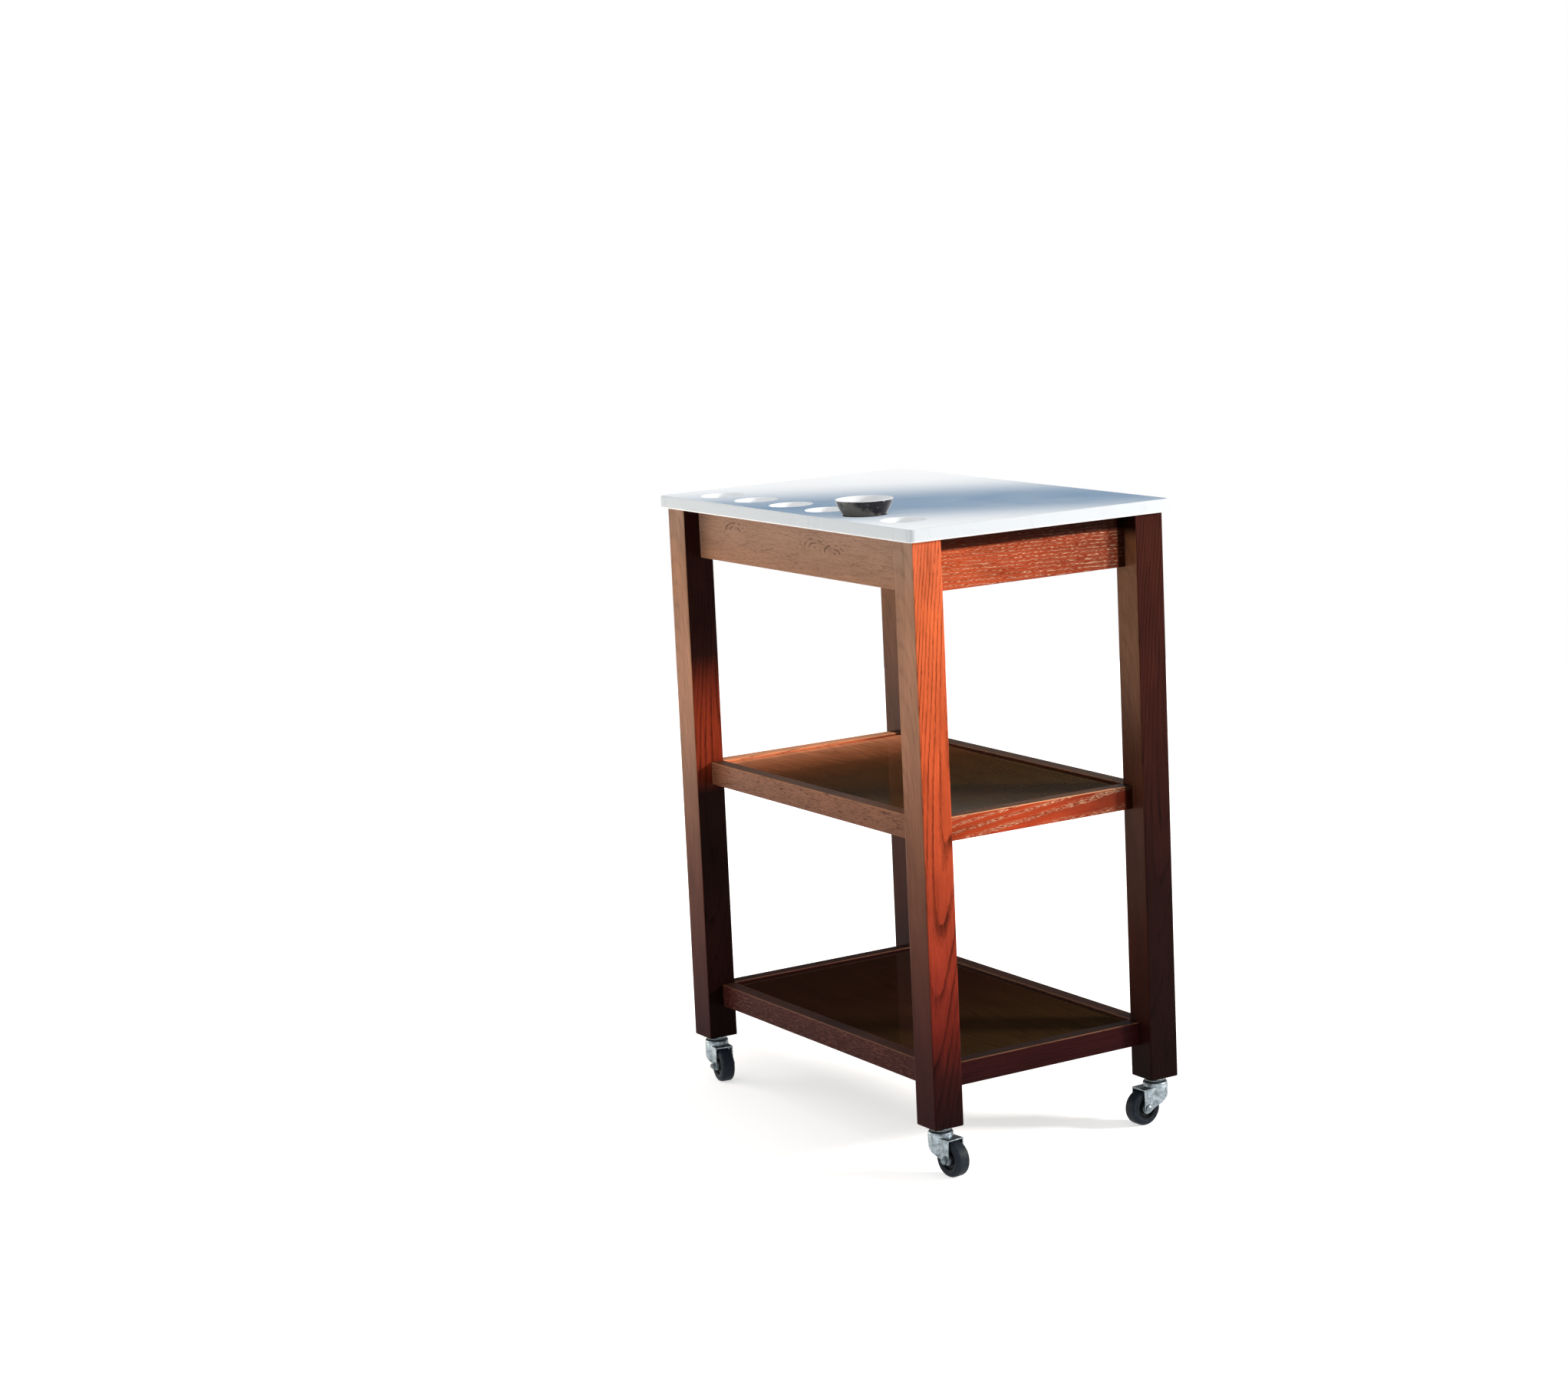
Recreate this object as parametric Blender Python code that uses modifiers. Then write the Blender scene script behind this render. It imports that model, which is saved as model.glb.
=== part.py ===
"""Wooden serving trolley on swivel castors, with a recessed stone top, two framed shelves and a bowl.

Metres, +Z up. The origin is on the floor under the middle of the trolley, +X along its long side,
and the row of recesses runs along the front, at -Y.
"""

import math

import bmesh
import bpy
from mathutils import Matrix, Vector

OBJECT_NAME = "serving_trolley"

# Clearance between pieces that touch, and how far a cutter runs past what it cuts
GAP = 0.0003
OVERCUT = 0.002

# Overall
TOTAL_HEIGHT = 0.900
LEG_SPAN_X = 0.660
LEG_SPAN_Y = 0.419
LEG_WIDTH = 0.047
LEG_ARRIS = 0.0016

# Stone top
SLAB_THICKNESS = 0.0186
SLAB_OVERHANG = 0.0093
SLAB_CORNER_RADIUS = 0.010
SLAB_EDGE_EASE = 0.0022

# Recesses along the front of the top
RECESS_COUNT = 6
RECESS_RADIUS = 0.031
RECESS_DEPTH = 0.0105
RECESS_EDGE_DISTANCE = 0.060
RECESS_LEFT_DISTANCE = 0.0863
RECESS_RIGHT_DISTANCE = 0.1043
RECESS_LIP = 0.0012
RECESS_FLOOR_FILLET = 0.002

# Bowl that stands in one recess: its foot is narrower than the recess and its rim wider
BOWL_RECESS = 4
BOWL_FOOT_INSET = 0.007
BOWL_FLARE = 0.010
BOWL_STAND = 0.022
BOWL_BULGE = 0.35
BOWL_WALL = 0.0026
BOWL_FLOOR = 0.004
BOWL_RIM_EASE = 0.001
BOWL_CLEARANCE = 0.0008

# Rails and aprons
RAIL_THICKNESS = 0.022
RAIL_ARRIS = 0.0013
APRON_HEIGHT = 0.0742
MID_RAIL_TOP = 0.4955
LOW_RAIL_TOP = 0.150
SHELF_RAIL_HEIGHT = 0.034
TENON_THICKNESS = 0.009
TENON_LENGTH = 0.018
TENON_SHOULDER = 0.004
TENON_SPLIT = 0.003

# Shelf panels and the grooves that hold them
PANEL_LIP = 0.004
PANEL_THICKNESS = 0.009
GROOVE_DEPTH = 0.006

# Corner blocks inside the aprons
BLOCK_SIDE = 0.048
BLOCK_TIP = 0.008
BLOCK_HEIGHT = 0.052

# Castor: wheel
TRAIL = 0.025
WHEEL_RADIUS = 0.0255
TYRE_WIDTH = 0.021
TYRE_SHOULDER = 0.005
TYRE_DEPTH = 0.009
HUB_INSET = 0.00075
HUB_WEB_INSET = 0.004
HUB_BOSS_RIM = 0.0007
HUB_RIM = 0.0025
AXLE_RADIUS = 0.003
AXLE_HEAD_OVERHANG = 0.0024
AXLE_HEAD_EDGE = 0.0012
AXLE_HEAD_RISE = 0.0022
NUT_OVERHANG = 0.0026
NUT_HEIGHT = 0.0044
THREAD_END = 0.002
THREAD_CHAMFER = 0.0009
BUSH_WALL = 0.0013
BUSH_FLANGE_OVERHANG = 0.0032
BUSH_FLANGE = 0.0012

# Castor: fork and swivel
FORK_SHEET = 0.0018
FORK_SIDE_CLEARANCE = 0.0017
FORK_TOP_CLEARANCE = 0.0012
FORK_LUG_MARGIN = 0.0035
HOOD_BULGE = 0.004
HOOD_DEPTH = 0.008
DOME_HEIGHT = 0.0066
DOME_ROUND = 0.0022
BALL_RADIUS = 0.0015
BALL_RING_INSET = 0.006
BALL_COUNT = 8
CAGE_THICKNESS = 0.0009
CAGE_WIDTH = 0.0042
CUP_INSET = 0.0014
CUP_HEIGHT = 0.0031
CUP_ROUND = 0.0008
NECK_RADIUS = 0.0042
RIVET_LEDGE = 0.0024
RIVET_HEIGHT = 0.0026
STEM_RADIUS = 0.005
STEM_LENGTH = 0.030
STEM_END_CLEARANCE = 0.002
SOCKET_WALL = 0.002

# Swivel angle of each castor as it stands, from +X towards +Y
CASTOR_ANGLES = {
    "front_left": -10.0,
    "front_right": 6.0,
    "back_left": 186.0,
    "back_right": -87.0,
}

# Facets round each kind of turned piece, and along each kind of rounding
TYRE_SEGMENTS = 26
HUB_SEGMENTS = 16
SMALL_SEGMENTS = 12
CUP_SEGMENTS = 16
DOME_SEGMENTS = 20
RECESS_SEGMENTS = 24
BOWL_SEGMENTS = 28
BALL_SEGMENTS = 6
BALL_RINGS = 4
SLAB_CORNER_STEPS = 5
BOWL_SIDE_STEPS = 4
SHOULDER_STEPS = 3
HOOD_STEPS = 10
LUG_STEPS = 6
HEAD_STEPS = 3
DOME_STEPS = 2

# Radii and widths that follow from the sizes above
FORK_INNER_WIDTH = TYRE_WIDTH + 2 * FORK_SIDE_CLEARANCE
FORK_OUTER_WIDTH = FORK_INNER_WIDTH + 2 * FORK_SHEET
FORK_LUG_RADIUS = AXLE_RADIUS + FORK_LUG_MARGIN
FORK_FRONT = TRAIL + FORK_LUG_RADIUS
DOME_RADIUS = FORK_OUTER_WIDTH / 2 + HOOD_BULGE
BALL_RING_RADIUS = DOME_RADIUS - BALL_RING_INSET
CUP_RADIUS = DOME_RADIUS - CUP_INSET
RIVET_RADIUS = NECK_RADIUS + RIVET_LEDGE
SOCKET_RADIUS = STEM_RADIUS + GAP + SOCKET_WALL
AXLE_HEAD_RADIUS = AXLE_RADIUS + AXLE_HEAD_OVERHANG
NUT_RADIUS = AXLE_RADIUS + NUT_OVERHANG
BUSH_RADIUS = AXLE_RADIUS + GAP + BUSH_WALL
BUSH_FLANGE_RADIUS = BUSH_RADIUS + BUSH_FLANGE_OVERHANG
HUB_BOSS_RADIUS = BUSH_FLANGE_RADIUS + HUB_BOSS_RIM
BOWL_FOOT_RADIUS = RECESS_RADIUS - BOWL_FOOT_INSET
BOWL_RIM_RADIUS = RECESS_RADIUS + BOWL_FLARE

# Heights and lengths that follow
AXLE_HEIGHT = WHEEL_RADIUS * math.cos(math.pi / TYRE_SEGMENTS)
PLATE_UNDERSIDE = AXLE_HEIGHT + WHEEL_RADIUS + FORK_TOP_CLEARANCE
PLATE_TOP = PLATE_UNDERSIDE + FORK_SHEET
DOME_TOP = PLATE_TOP + DOME_HEIGHT
BALL_LEVEL = DOME_TOP + GAP + BALL_RADIUS
CUP_BOTTOM = BALL_LEVEL + BALL_RADIUS + GAP
CUP_TOP = CUP_BOTTOM + CUP_HEIGHT
LEG_BOTTOM = CUP_TOP + GAP
SLAB_UNDERSIDE = TOTAL_HEIGHT - SLAB_THICKNESS
FRAME_TOP = SLAB_UNDERSIDE - GAP
SLAB_HALF_X = LEG_SPAN_X / 2 + SLAB_OVERHANG
SLAB_HALF_Y = LEG_SPAN_Y / 2 + SLAB_OVERHANG
RECESS_ROW_Y = -SLAB_HALF_Y + RECESS_EDGE_DISTANCE
RECESS_FIRST_X = -SLAB_HALF_X + RECESS_LEFT_DISTANCE
RECESS_PITCH = (SLAB_HALF_X - RECESS_RIGHT_DISTANCE - RECESS_FIRST_X) / (RECESS_COUNT - 1)
SOCKET_LENGTH = STEM_LENGTH + STEM_END_CLEARANCE

# Inner faces of the legs, where the rails' and aprons' inner faces lie too
INNER_X = LEG_SPAN_X / 2 - LEG_WIDTH
INNER_Y = LEG_SPAN_Y / 2 - LEG_WIDTH

CORNERS = {
    "front_left": (-1, -1),
    "front_right": (1, -1),
    "back_left": (-1, 1),
    "back_right": (1, 1),
}

# Each side of the frame: whether it runs along X, and which way it faces
SIDES = {
    "front": (True, -1),
    "back": (True, 1),
    "left": (False, -1),
    "right": (False, 1),
}

# Each level of rails: the height of its underside and of its top
LEVELS = {
    "apron": (FRAME_TOP - APRON_HEIGHT, FRAME_TOP),
    "mid_rail": (MID_RAIL_TOP - SHELF_RAIL_HEIGHT, MID_RAIL_TOP),
    "low_rail": (LOW_RAIL_TOP - SHELF_RAIL_HEIGHT, LOW_RAIL_TOP),
}
SHELVES = {"mid": MID_RAIL_TOP, "low": LOW_RAIL_TOP}

# Colour, roughness and metallic value of each finish
WOOD = ((0.150, 0.032, 0.014), 0.38, 0.0)
PANEL_WOOD = ((0.060, 0.026, 0.014), 0.34, 0.0)
HIDDEN_WOOD = ((0.420, 0.270, 0.150), 0.60, 0.0)
STONE = ((0.820, 0.820, 0.810), 0.22, 0.0)
GLAZE = ((0.030, 0.022, 0.020), 0.12, 0.0)
ZINC = ((0.520, 0.540, 0.550), 0.36, 1.0)
STEEL = ((0.560, 0.560, 0.560), 0.30, 1.0)
RUBBER = ((0.014, 0.016, 0.020), 0.55, 0.0)
HUB_PLASTIC = ((0.018, 0.018, 0.020), 0.45, 0.0)


def clear_scene():
    """Removes what the opened file holds and makes the two collections."""
    for thing in list(bpy.data.objects):
        bpy.data.objects.remove(thing)
    collections = []
    for name in (OBJECT_NAME, OBJECT_NAME + "_cutters"):
        collection = bpy.data.collections.new(name)
        bpy.context.scene.collection.children.link(collection)
        collections.append(collection)
    return collections


PARTS, CUTTERS = clear_scene()


def paint(thing, finish):
    """Gives an object its own Principled BSDF material."""
    colour, roughness, metallic = finish
    material = bpy.data.materials.new(thing.name)
    material.use_nodes = True
    shader = material.node_tree.nodes["Principled BSDF"]
    shader.inputs["Base Color"].default_value = (*colour, 1.0)
    shader.inputs["Roughness"].default_value = roughness
    shader.inputs["Metallic"].default_value = metallic
    thing.data.materials.append(material)


def make_part(name, mesh, finish, parent=None):
    """Adds a mesh to the trolley as a named piece."""
    part = bpy.data.objects.new(name, mesh)
    PARTS.objects.link(part)
    part.parent = parent
    paint(part, finish)
    return part


def make_cutter(name, mesh, parent=None):
    """Adds a mesh that only cuts or joins other pieces."""
    cutter = bpy.data.objects.new(name, mesh)
    CUTTERS.objects.link(cutter)
    cutter.parent = parent
    cutter.hide_render = True
    cutter.display_type = "WIRE"
    return cutter


def combine(part, cutter, operation="DIFFERENCE"):
    """Cuts or joins a piece with a cutter."""
    modifier = part.modifiers.new(cutter.name, "BOOLEAN")
    modifier.operation = operation
    modifier.solver = "EXACT"
    modifier.object = cutter


def round_edges(part, width, segments=2):
    """Rounds the sharp edges of a piece."""
    modifier = part.modifiers.new("rounded edges", "BEVEL")
    modifier.width = width
    modifier.segments = segments
    modifier.limit_method = "ANGLE"


def to_mesh(name, build):
    """Makes a mesh from what a function puts in an empty bmesh."""
    mesh = bpy.data.meshes.new(name)
    bm = bmesh.new()
    build(bm)
    bm.to_mesh(mesh)
    bm.free()
    return mesh


def add_box(bm, corner_a, corner_b):
    """Adds a box between two opposite corners."""
    low = Vector(map(min, corner_a, corner_b))
    high = Vector(map(max, corner_a, corner_b))
    place = Matrix.Translation((low + high) / 2) @ Matrix.Diagonal((*(high - low), 1.0))
    bmesh.ops.create_cube(bm, size=1.0, matrix=place)


def add_rod(bm, start, end, radius, segments):
    """Adds a closed cylinder from one point to another."""
    run = Vector(end) - Vector(start)
    turn = run.to_track_quat("Z", "Y").to_matrix().to_4x4()
    place = Matrix.Translation((Vector(start) + Vector(end)) / 2) @ turn
    bmesh.ops.create_cone(bm, cap_ends=True, segments=segments, radius1=radius, radius2=radius,
                          depth=run.length, matrix=place)


def evaluated_mesh(thing):
    """Returns an object's mesh as its modifiers or curve settings leave it, and removes the object."""
    graph = bpy.context.evaluated_depsgraph_get()
    mesh = bpy.data.meshes.new_from_object(thing.evaluated_get(graph))
    bm = bmesh.new()
    bm.from_mesh(mesh)
    bmesh.ops.remove_doubles(bm, verts=bm.verts, dist=1e-6)
    bm.to_mesh(mesh)
    bm.free()
    bpy.data.objects.remove(thing)
    return mesh


def turned_mesh(name, profile, segments, ring=False):
    """Turns a profile of (radius, height) points about Z.

    The profile runs down its outer side. A ring's profile closes on itself, any other starts and ends
    on the axis.
    """
    count = len(profile)
    edges = [(i, i + 1) for i in range(count - 1)]
    if ring:
        edges.append((count - 1, 0))
    mesh = bpy.data.meshes.new(name)
    mesh.from_pydata([(radius, 0.0, height) for radius, height in profile], edges, [])
    thing = bpy.data.objects.new(name, mesh)
    CUTTERS.objects.link(thing)
    screw = thing.modifiers.new("turned", "SCREW")
    screw.axis = "Z"
    screw.steps = segments
    screw.render_steps = segments
    screw.use_merge_vertices = True
    screw.merge_threshold = 1e-6
    turned = evaluated_mesh(thing)
    turned.shade_smooth()
    turned.set_sharp_from_angle(angle=math.radians(40))
    return turned


def prism_mesh(name, outline, low, high):
    """Extrudes a flat outline of (x, y) points from one height to another."""
    curve = bpy.data.curves.new(name, "CURVE")
    curve.dimensions = "2D"
    curve.fill_mode = "BOTH"
    curve.extrude = (high - low) / 2
    spline = curve.splines.new("POLY")
    spline.points.add(len(outline) - 1)
    for point, (x, y) in zip(spline.points, outline):
        point.co = (x, y, 0.0, 1.0)
    spline.use_cyclic_u = True
    thing = bpy.data.objects.new(name, curve)
    CUTTERS.objects.link(thing)
    mesh = evaluated_mesh(thing)
    mesh.transform(Matrix.Translation((0.0, 0.0, (low + high) / 2)))
    return mesh


def arc(centre, radius, start, end, steps):
    """Points along an arc, with angles in degrees."""
    angles = [math.radians(start + (end - start) * i / steps) for i in range(steps + 1)]
    return [(centre[0] + radius * math.cos(a), centre[1] + radius * math.sin(a)) for a in angles]


def at_side(side, along, out, height):
    """World point of a side, given how far along it, how far out from the middle and how high."""
    runs_along_x, sign = SIDES[side]
    if runs_along_x:
        return Vector((along, sign * out, height))
    return Vector((sign * out, along, height))


def side_faces(side):
    """How far a side's rails run from the middle, and how far out their inner faces lie."""
    runs_along_x, _ = SIDES[side]
    if runs_along_x:
        return INNER_X, INNER_Y
    return INNER_Y, INNER_X


def leg_centre(corner):
    """Plan position of a leg's and a castor's middle."""
    sign_x, sign_y = CORNERS[corner]
    return sign_x * (LEG_SPAN_X - LEG_WIDTH) / 2, sign_y * (LEG_SPAN_Y - LEG_WIDTH) / 2


def tenon_corners(side, level, clearance):
    """Opposite corners of the bar that forms a rail's two tenons, grown by a clearance.

    Long rails have their tenons in the upper half and short rails in the lower half, so that the two
    pass each other inside a leg.
    """
    low, high = LEVELS[level]
    middle = (low + high) / 2
    if SIDES[side][0]:
        band = (middle + TENON_SPLIT / 2, high - TENON_SHOULDER)
    else:
        band = (low + TENON_SHOULDER, middle - TENON_SPLIT / 2)
    along, inner = side_faces(side)
    reach = along + TENON_LENGTH + clearance
    out = inner + RAIL_THICKNESS / 2
    half = TENON_THICKNESS / 2 + clearance
    return (at_side(side, -reach, out - half, band[0] - clearance),
            at_side(side, reach, out + half, band[1] + clearance))


def build_stone_top():
    """Slab with rounded corners, eased edges and a row of blind recesses."""
    def slab(bm):
        add_box(bm, (-SLAB_HALF_X, -SLAB_HALF_Y, SLAB_UNDERSIDE), (SLAB_HALF_X, SLAB_HALF_Y, TOTAL_HEIGHT))
        upright = [e for e in bm.edges if abs(e.verts[0].co.z - e.verts[1].co.z) > SLAB_THICKNESS / 2]
        bmesh.ops.bevel(bm, geom=upright, offset=SLAB_CORNER_RADIUS, segments=SLAB_CORNER_STEPS,
                         profile=0.5, affect="EDGES")

    top = make_part("stone_top", to_mesh("stone_top", slab), STONE)
    round_edges(top, SLAB_EDGE_EASE)
    top.modifiers["rounded edges"].angle_limit = math.radians(60)

    floor = TOTAL_HEIGHT - RECESS_DEPTH
    profile = [
        (0.0, TOTAL_HEIGHT + OVERCUT),
        (RECESS_RADIUS + RECESS_LIP, TOTAL_HEIGHT + OVERCUT),
        (RECESS_RADIUS + RECESS_LIP, TOTAL_HEIGHT),
        (RECESS_RADIUS, TOTAL_HEIGHT - RECESS_LIP),
        (RECESS_RADIUS, floor + RECESS_FLOOR_FILLET),
        (RECESS_RADIUS - RECESS_FLOOR_FILLET, floor),
        (0.0, floor),
    ]
    mesh = turned_mesh("recess", profile, RECESS_SEGMENTS)
    for index in range(RECESS_COUNT):
        cutter = make_cutter(f"recess_{index}", mesh)
        cutter.location = (recess_x(index), RECESS_ROW_Y, 0.0)
        combine(top, cutter)


def recess_x(index):
    """X of a recess's middle, counted from the left end of the row."""
    return RECESS_FIRST_X + index * RECESS_PITCH


def build_bowl():
    """Bowl that tapers into its recess and stands on the recess's floor."""
    lip_radius = RECESS_RADIUS - BOWL_CLEARANCE
    height = RECESS_DEPTH + BOWL_STAND

    def side_radius(share):
        curve = (1 + BOWL_BULGE) * share - BOWL_BULGE * share * share
        return lip_radius + (BOWL_RIM_RADIUS - lip_radius) * curve

    shares = [i / BOWL_SIDE_STEPS for i in range(BOWL_SIDE_STEPS)]
    sides = [(side_radius(share), RECESS_DEPTH + BOWL_STAND * share) for share in shares]
    inner = [(radius - BOWL_WALL, z) for radius, z in sides]
    rim = [
        (BOWL_RIM_RADIUS - BOWL_WALL, height - BOWL_RIM_EASE),
        (BOWL_RIM_RADIUS - BOWL_WALL / 2, height),
        (BOWL_RIM_RADIUS, height - BOWL_RIM_EASE),
    ]
    foot = [
        (BOWL_FOOT_RADIUS + RECESS_FLOOR_FILLET, RECESS_FLOOR_FILLET),
        (BOWL_FOOT_RADIUS, 0.0),
        (0.0, 0.0),
    ]
    floor = [(0.0, BOWL_FLOOR), (BOWL_FOOT_RADIUS - BOWL_WALL, BOWL_FLOOR)]
    mesh = turned_mesh("bowl", floor + inner + rim + sides[::-1] + foot, BOWL_SEGMENTS)
    bowl = make_part("bowl", mesh, GLAZE)
    bowl.location = (recess_x(BOWL_RECESS), RECESS_ROW_Y, TOTAL_HEIGHT - RECESS_DEPTH + GAP)


def build_leg(corner):
    """Square leg with a mortise for every rail that meets it and a bore for the castor's socket."""
    x, y = leg_centre(corner)
    half = LEG_WIDTH / 2

    def post(bm):
        add_box(bm, (-half, -half, LEG_BOTTOM), (half, half, FRAME_TOP))

    def hollows(bm):
        for side in sides_at(corner):
            for level in LEVELS:
                low, high = tenon_corners(side, level, GAP)
                add_box(bm, low, high)
        add_rod(bm, (x, y, LEG_BOTTOM - OVERCUT), (x, y, LEG_BOTTOM + SOCKET_LENGTH + GAP),
                SOCKET_RADIUS + GAP, SMALL_SEGMENTS)

    leg = make_part("leg_" + corner, to_mesh("leg_" + corner, post), WOOD)
    leg.location = (x, y, 0.0)
    round_edges(leg, LEG_ARRIS)
    combine(leg, make_cutter("leg_hollows_" + corner, to_mesh("leg_hollows", hollows)))


def sides_at(corner):
    """The two sides of the frame that meet at a corner."""
    sign_x, sign_y = CORNERS[corner]
    return ("front" if sign_y < 0 else "back", "left" if sign_x < 0 else "right")


def build_rail(level, side):
    """Rail or apron between two legs, with a tenon at each end and a groove where it holds a panel."""
    name = f"{level}_{side}"
    low, high = LEVELS[level]
    along, inner = side_faces(side)

    def body(bm):
        add_box(bm, at_side(side, -along + GAP, inner, low),
                at_side(side, along - GAP, inner + RAIL_THICKNESS, high))

    def tenons(bm):
        add_box(bm, *tenon_corners(side, level, 0.0))

    def groove(bm):
        add_box(bm, *groove_corners(side, level, GAP))

    rail = make_part(name, to_mesh(name, body), WOOD)
    round_edges(rail, RAIL_ARRIS)
    combine(rail, make_cutter(name + "_tenons", to_mesh("tenons", tenons)), "UNION")
    if level != "apron":
        combine(rail, make_cutter(name + "_groove", to_mesh("groove", groove)))


def groove_corners(side, level, clearance):
    """Opposite corners of the slot that a shelf panel's edge needs in a rail."""
    along, inner = side_faces(side)
    top = LEVELS[level][1] - PANEL_LIP
    return (at_side(side, -along, inner - OVERCUT, top - PANEL_THICKNESS - clearance),
            at_side(side, along, inner + GROOVE_DEPTH + clearance, top + clearance))


def build_shelf(shelf):
    """Veneered panel with its edges in the rails' grooves, notched at the corners for the legs."""
    top = SHELVES[shelf] - PANEL_LIP
    bottom = top - PANEL_THICKNESS
    half_x, half_y = INNER_X + GROOVE_DEPTH, INNER_Y + GROOVE_DEPTH
    notch = GROOVE_DEPTH + GAP
    outline = []
    for sign_x, sign_y in ((1, 1), (-1, 1), (-1, -1), (1, -1)):
        beside = (sign_x * half_x, sign_y * (half_y - notch))
        inside = (sign_x * (half_x - notch), sign_y * (half_y - notch))
        above = (sign_x * (half_x - notch), sign_y * half_y)
        outline += [beside, inside, above] if sign_x == sign_y else [above, inside, beside]
    name = f"{shelf}_shelf_panel"
    make_part(name, prism_mesh(name, outline, bottom, top), PANEL_WOOD)


def build_corner_block(corner):
    """Three-cornered glue block that ties two aprons together under the slab."""
    sign_x, sign_y = CORNERS[corner]
    corner_x, corner_y = sign_x * (INNER_X - GAP), sign_y * (INNER_Y - GAP)
    steps = [(0.0, 0.0), (BLOCK_SIDE, 0.0), (BLOCK_SIDE, BLOCK_TIP), (BLOCK_TIP, BLOCK_SIDE), (0.0, BLOCK_SIDE)]
    outline = [(corner_x - sign_x * along_x, corner_y - sign_y * along_y) for along_x, along_y in steps]
    if sign_x != sign_y:
        outline.reverse()
    name = "corner_block_" + corner
    make_part(name, prism_mesh(name, outline, FRAME_TOP - BLOCK_HEIGHT, FRAME_TOP), HIDDEN_WOOD)


def make_empty(name, location, parent=None):
    """Adds an empty that carries the pieces which turn about one axis."""
    empty = bpy.data.objects.new(name, None)
    PARTS.objects.link(empty)
    empty.location = location
    empty.parent = parent
    return empty


def race_mesh():
    """Top race: stem, cup over the balls, neck through the fork and a riveted end."""
    neck_end = PLATE_UNDERSIDE - GAP
    profile = [
        (0.0, LEG_BOTTOM + STEM_LENGTH),
        (STEM_RADIUS, LEG_BOTTOM + STEM_LENGTH),
        (STEM_RADIUS, CUP_TOP),
        (CUP_RADIUS - CUP_ROUND, CUP_TOP),
        (CUP_RADIUS, CUP_TOP - CUP_ROUND),
        (CUP_RADIUS, CUP_BOTTOM),
        (NECK_RADIUS, CUP_BOTTOM),
        (NECK_RADIUS, neck_end),
        (RIVET_RADIUS, neck_end),
        (RIVET_RADIUS, neck_end - RIVET_HEIGHT / 2),
        (RIVET_RADIUS / 2, neck_end - RIVET_HEIGHT),
        (0.0, neck_end - RIVET_HEIGHT),
    ]
    return turned_mesh("race", profile, CUP_SEGMENTS)


def build_ball_cage(name, swivel):
    """Ring of bearing balls in a thin cage, between the race's cup and the fork's dome."""
    inner, outer = BALL_RING_RADIUS - CAGE_WIDTH / 2, BALL_RING_RADIUS + CAGE_WIDTH / 2
    high, low = BALL_LEVEL + CAGE_THICKNESS / 2, BALL_LEVEL - CAGE_THICKNESS / 2
    ring = [(inner, high), (outer, high), (outer, low), (inner, low)]

    def balls(bm):
        for index in range(BALL_COUNT):
            angle = 2 * math.pi * index / BALL_COUNT
            place = (BALL_RING_RADIUS * math.cos(angle), BALL_RING_RADIUS * math.sin(angle), BALL_LEVEL)
            bmesh.ops.create_uvsphere(bm, u_segments=BALL_SEGMENTS, v_segments=BALL_RINGS, radius=BALL_RADIUS,
                                      matrix=Matrix.Translation(place))

    cage = make_part(name, turned_mesh(name, ring, CUP_SEGMENTS, ring=True), STEEL, swivel)
    combine(cage, make_cutter(name + "_balls", to_mesh("balls", balls), swivel), "UNION")


def socket_mesh():
    """Sleeve in a leg's lower end that holds the castor's stem."""
    bore = STEM_RADIUS + GAP
    top = LEG_BOTTOM + SOCKET_LENGTH
    profile = [(bore, top), (SOCKET_RADIUS, top), (SOCKET_RADIUS, LEG_BOTTOM), (bore, LEG_BOTTOM)]
    return turned_mesh("socket", profile, SMALL_SEGMENTS, ring=True)


def keyhole(radius, half_width, front):
    """Plan outline of the fork: a round hood that runs forward into two parallel sides."""
    meet = math.degrees(math.asin(half_width / radius))
    hood = arc((0.0, 0.0), radius, meet, 360.0 - meet, HOOD_STEPS)
    return hood + [(front, -half_width), (front, half_width)]


def fork_side_cut():
    """Outline, seen from the side, of what is cut away below the fork's slanting lower edge."""
    rear = Vector((-DOME_RADIUS, PLATE_UNDERSIDE - HOOD_DEPTH))
    axle = Vector((TRAIL, AXLE_HEIGHT))
    run = axle - rear
    slant = math.atan2(run.y, run.x) - math.asin(FORK_LUG_RADIUS / run.length)
    beyond = DOME_RADIUS
    start = rear - beyond * Vector((math.cos(slant), math.sin(slant)))
    lug = arc(axle, FORK_LUG_RADIUS, math.degrees(slant) - 90.0, 0.0, LUG_STEPS)
    floor = AXLE_HEIGHT - 2 * FORK_LUG_RADIUS
    clear = FORK_FRONT + beyond
    return [tuple(start)] + lug + [(clear, AXLE_HEIGHT), (clear, floor), (start.x, floor)]


def add_fork_bores(bm):
    """Adds the holes for the axle bolt and for the race's neck."""
    half = FORK_OUTER_WIDTH / 2 + OVERCUT
    add_rod(bm, (TRAIL, -half, AXLE_HEIGHT), (TRAIL, half, AXLE_HEIGHT), AXLE_RADIUS + GAP, SMALL_SEGMENTS)
    add_rod(bm, (0.0, 0.0, PLATE_UNDERSIDE - OVERCUT), (0.0, 0.0, DOME_TOP + OVERCUT),
            NECK_RADIUS + GAP, SMALL_SEGMENTS)


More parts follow.
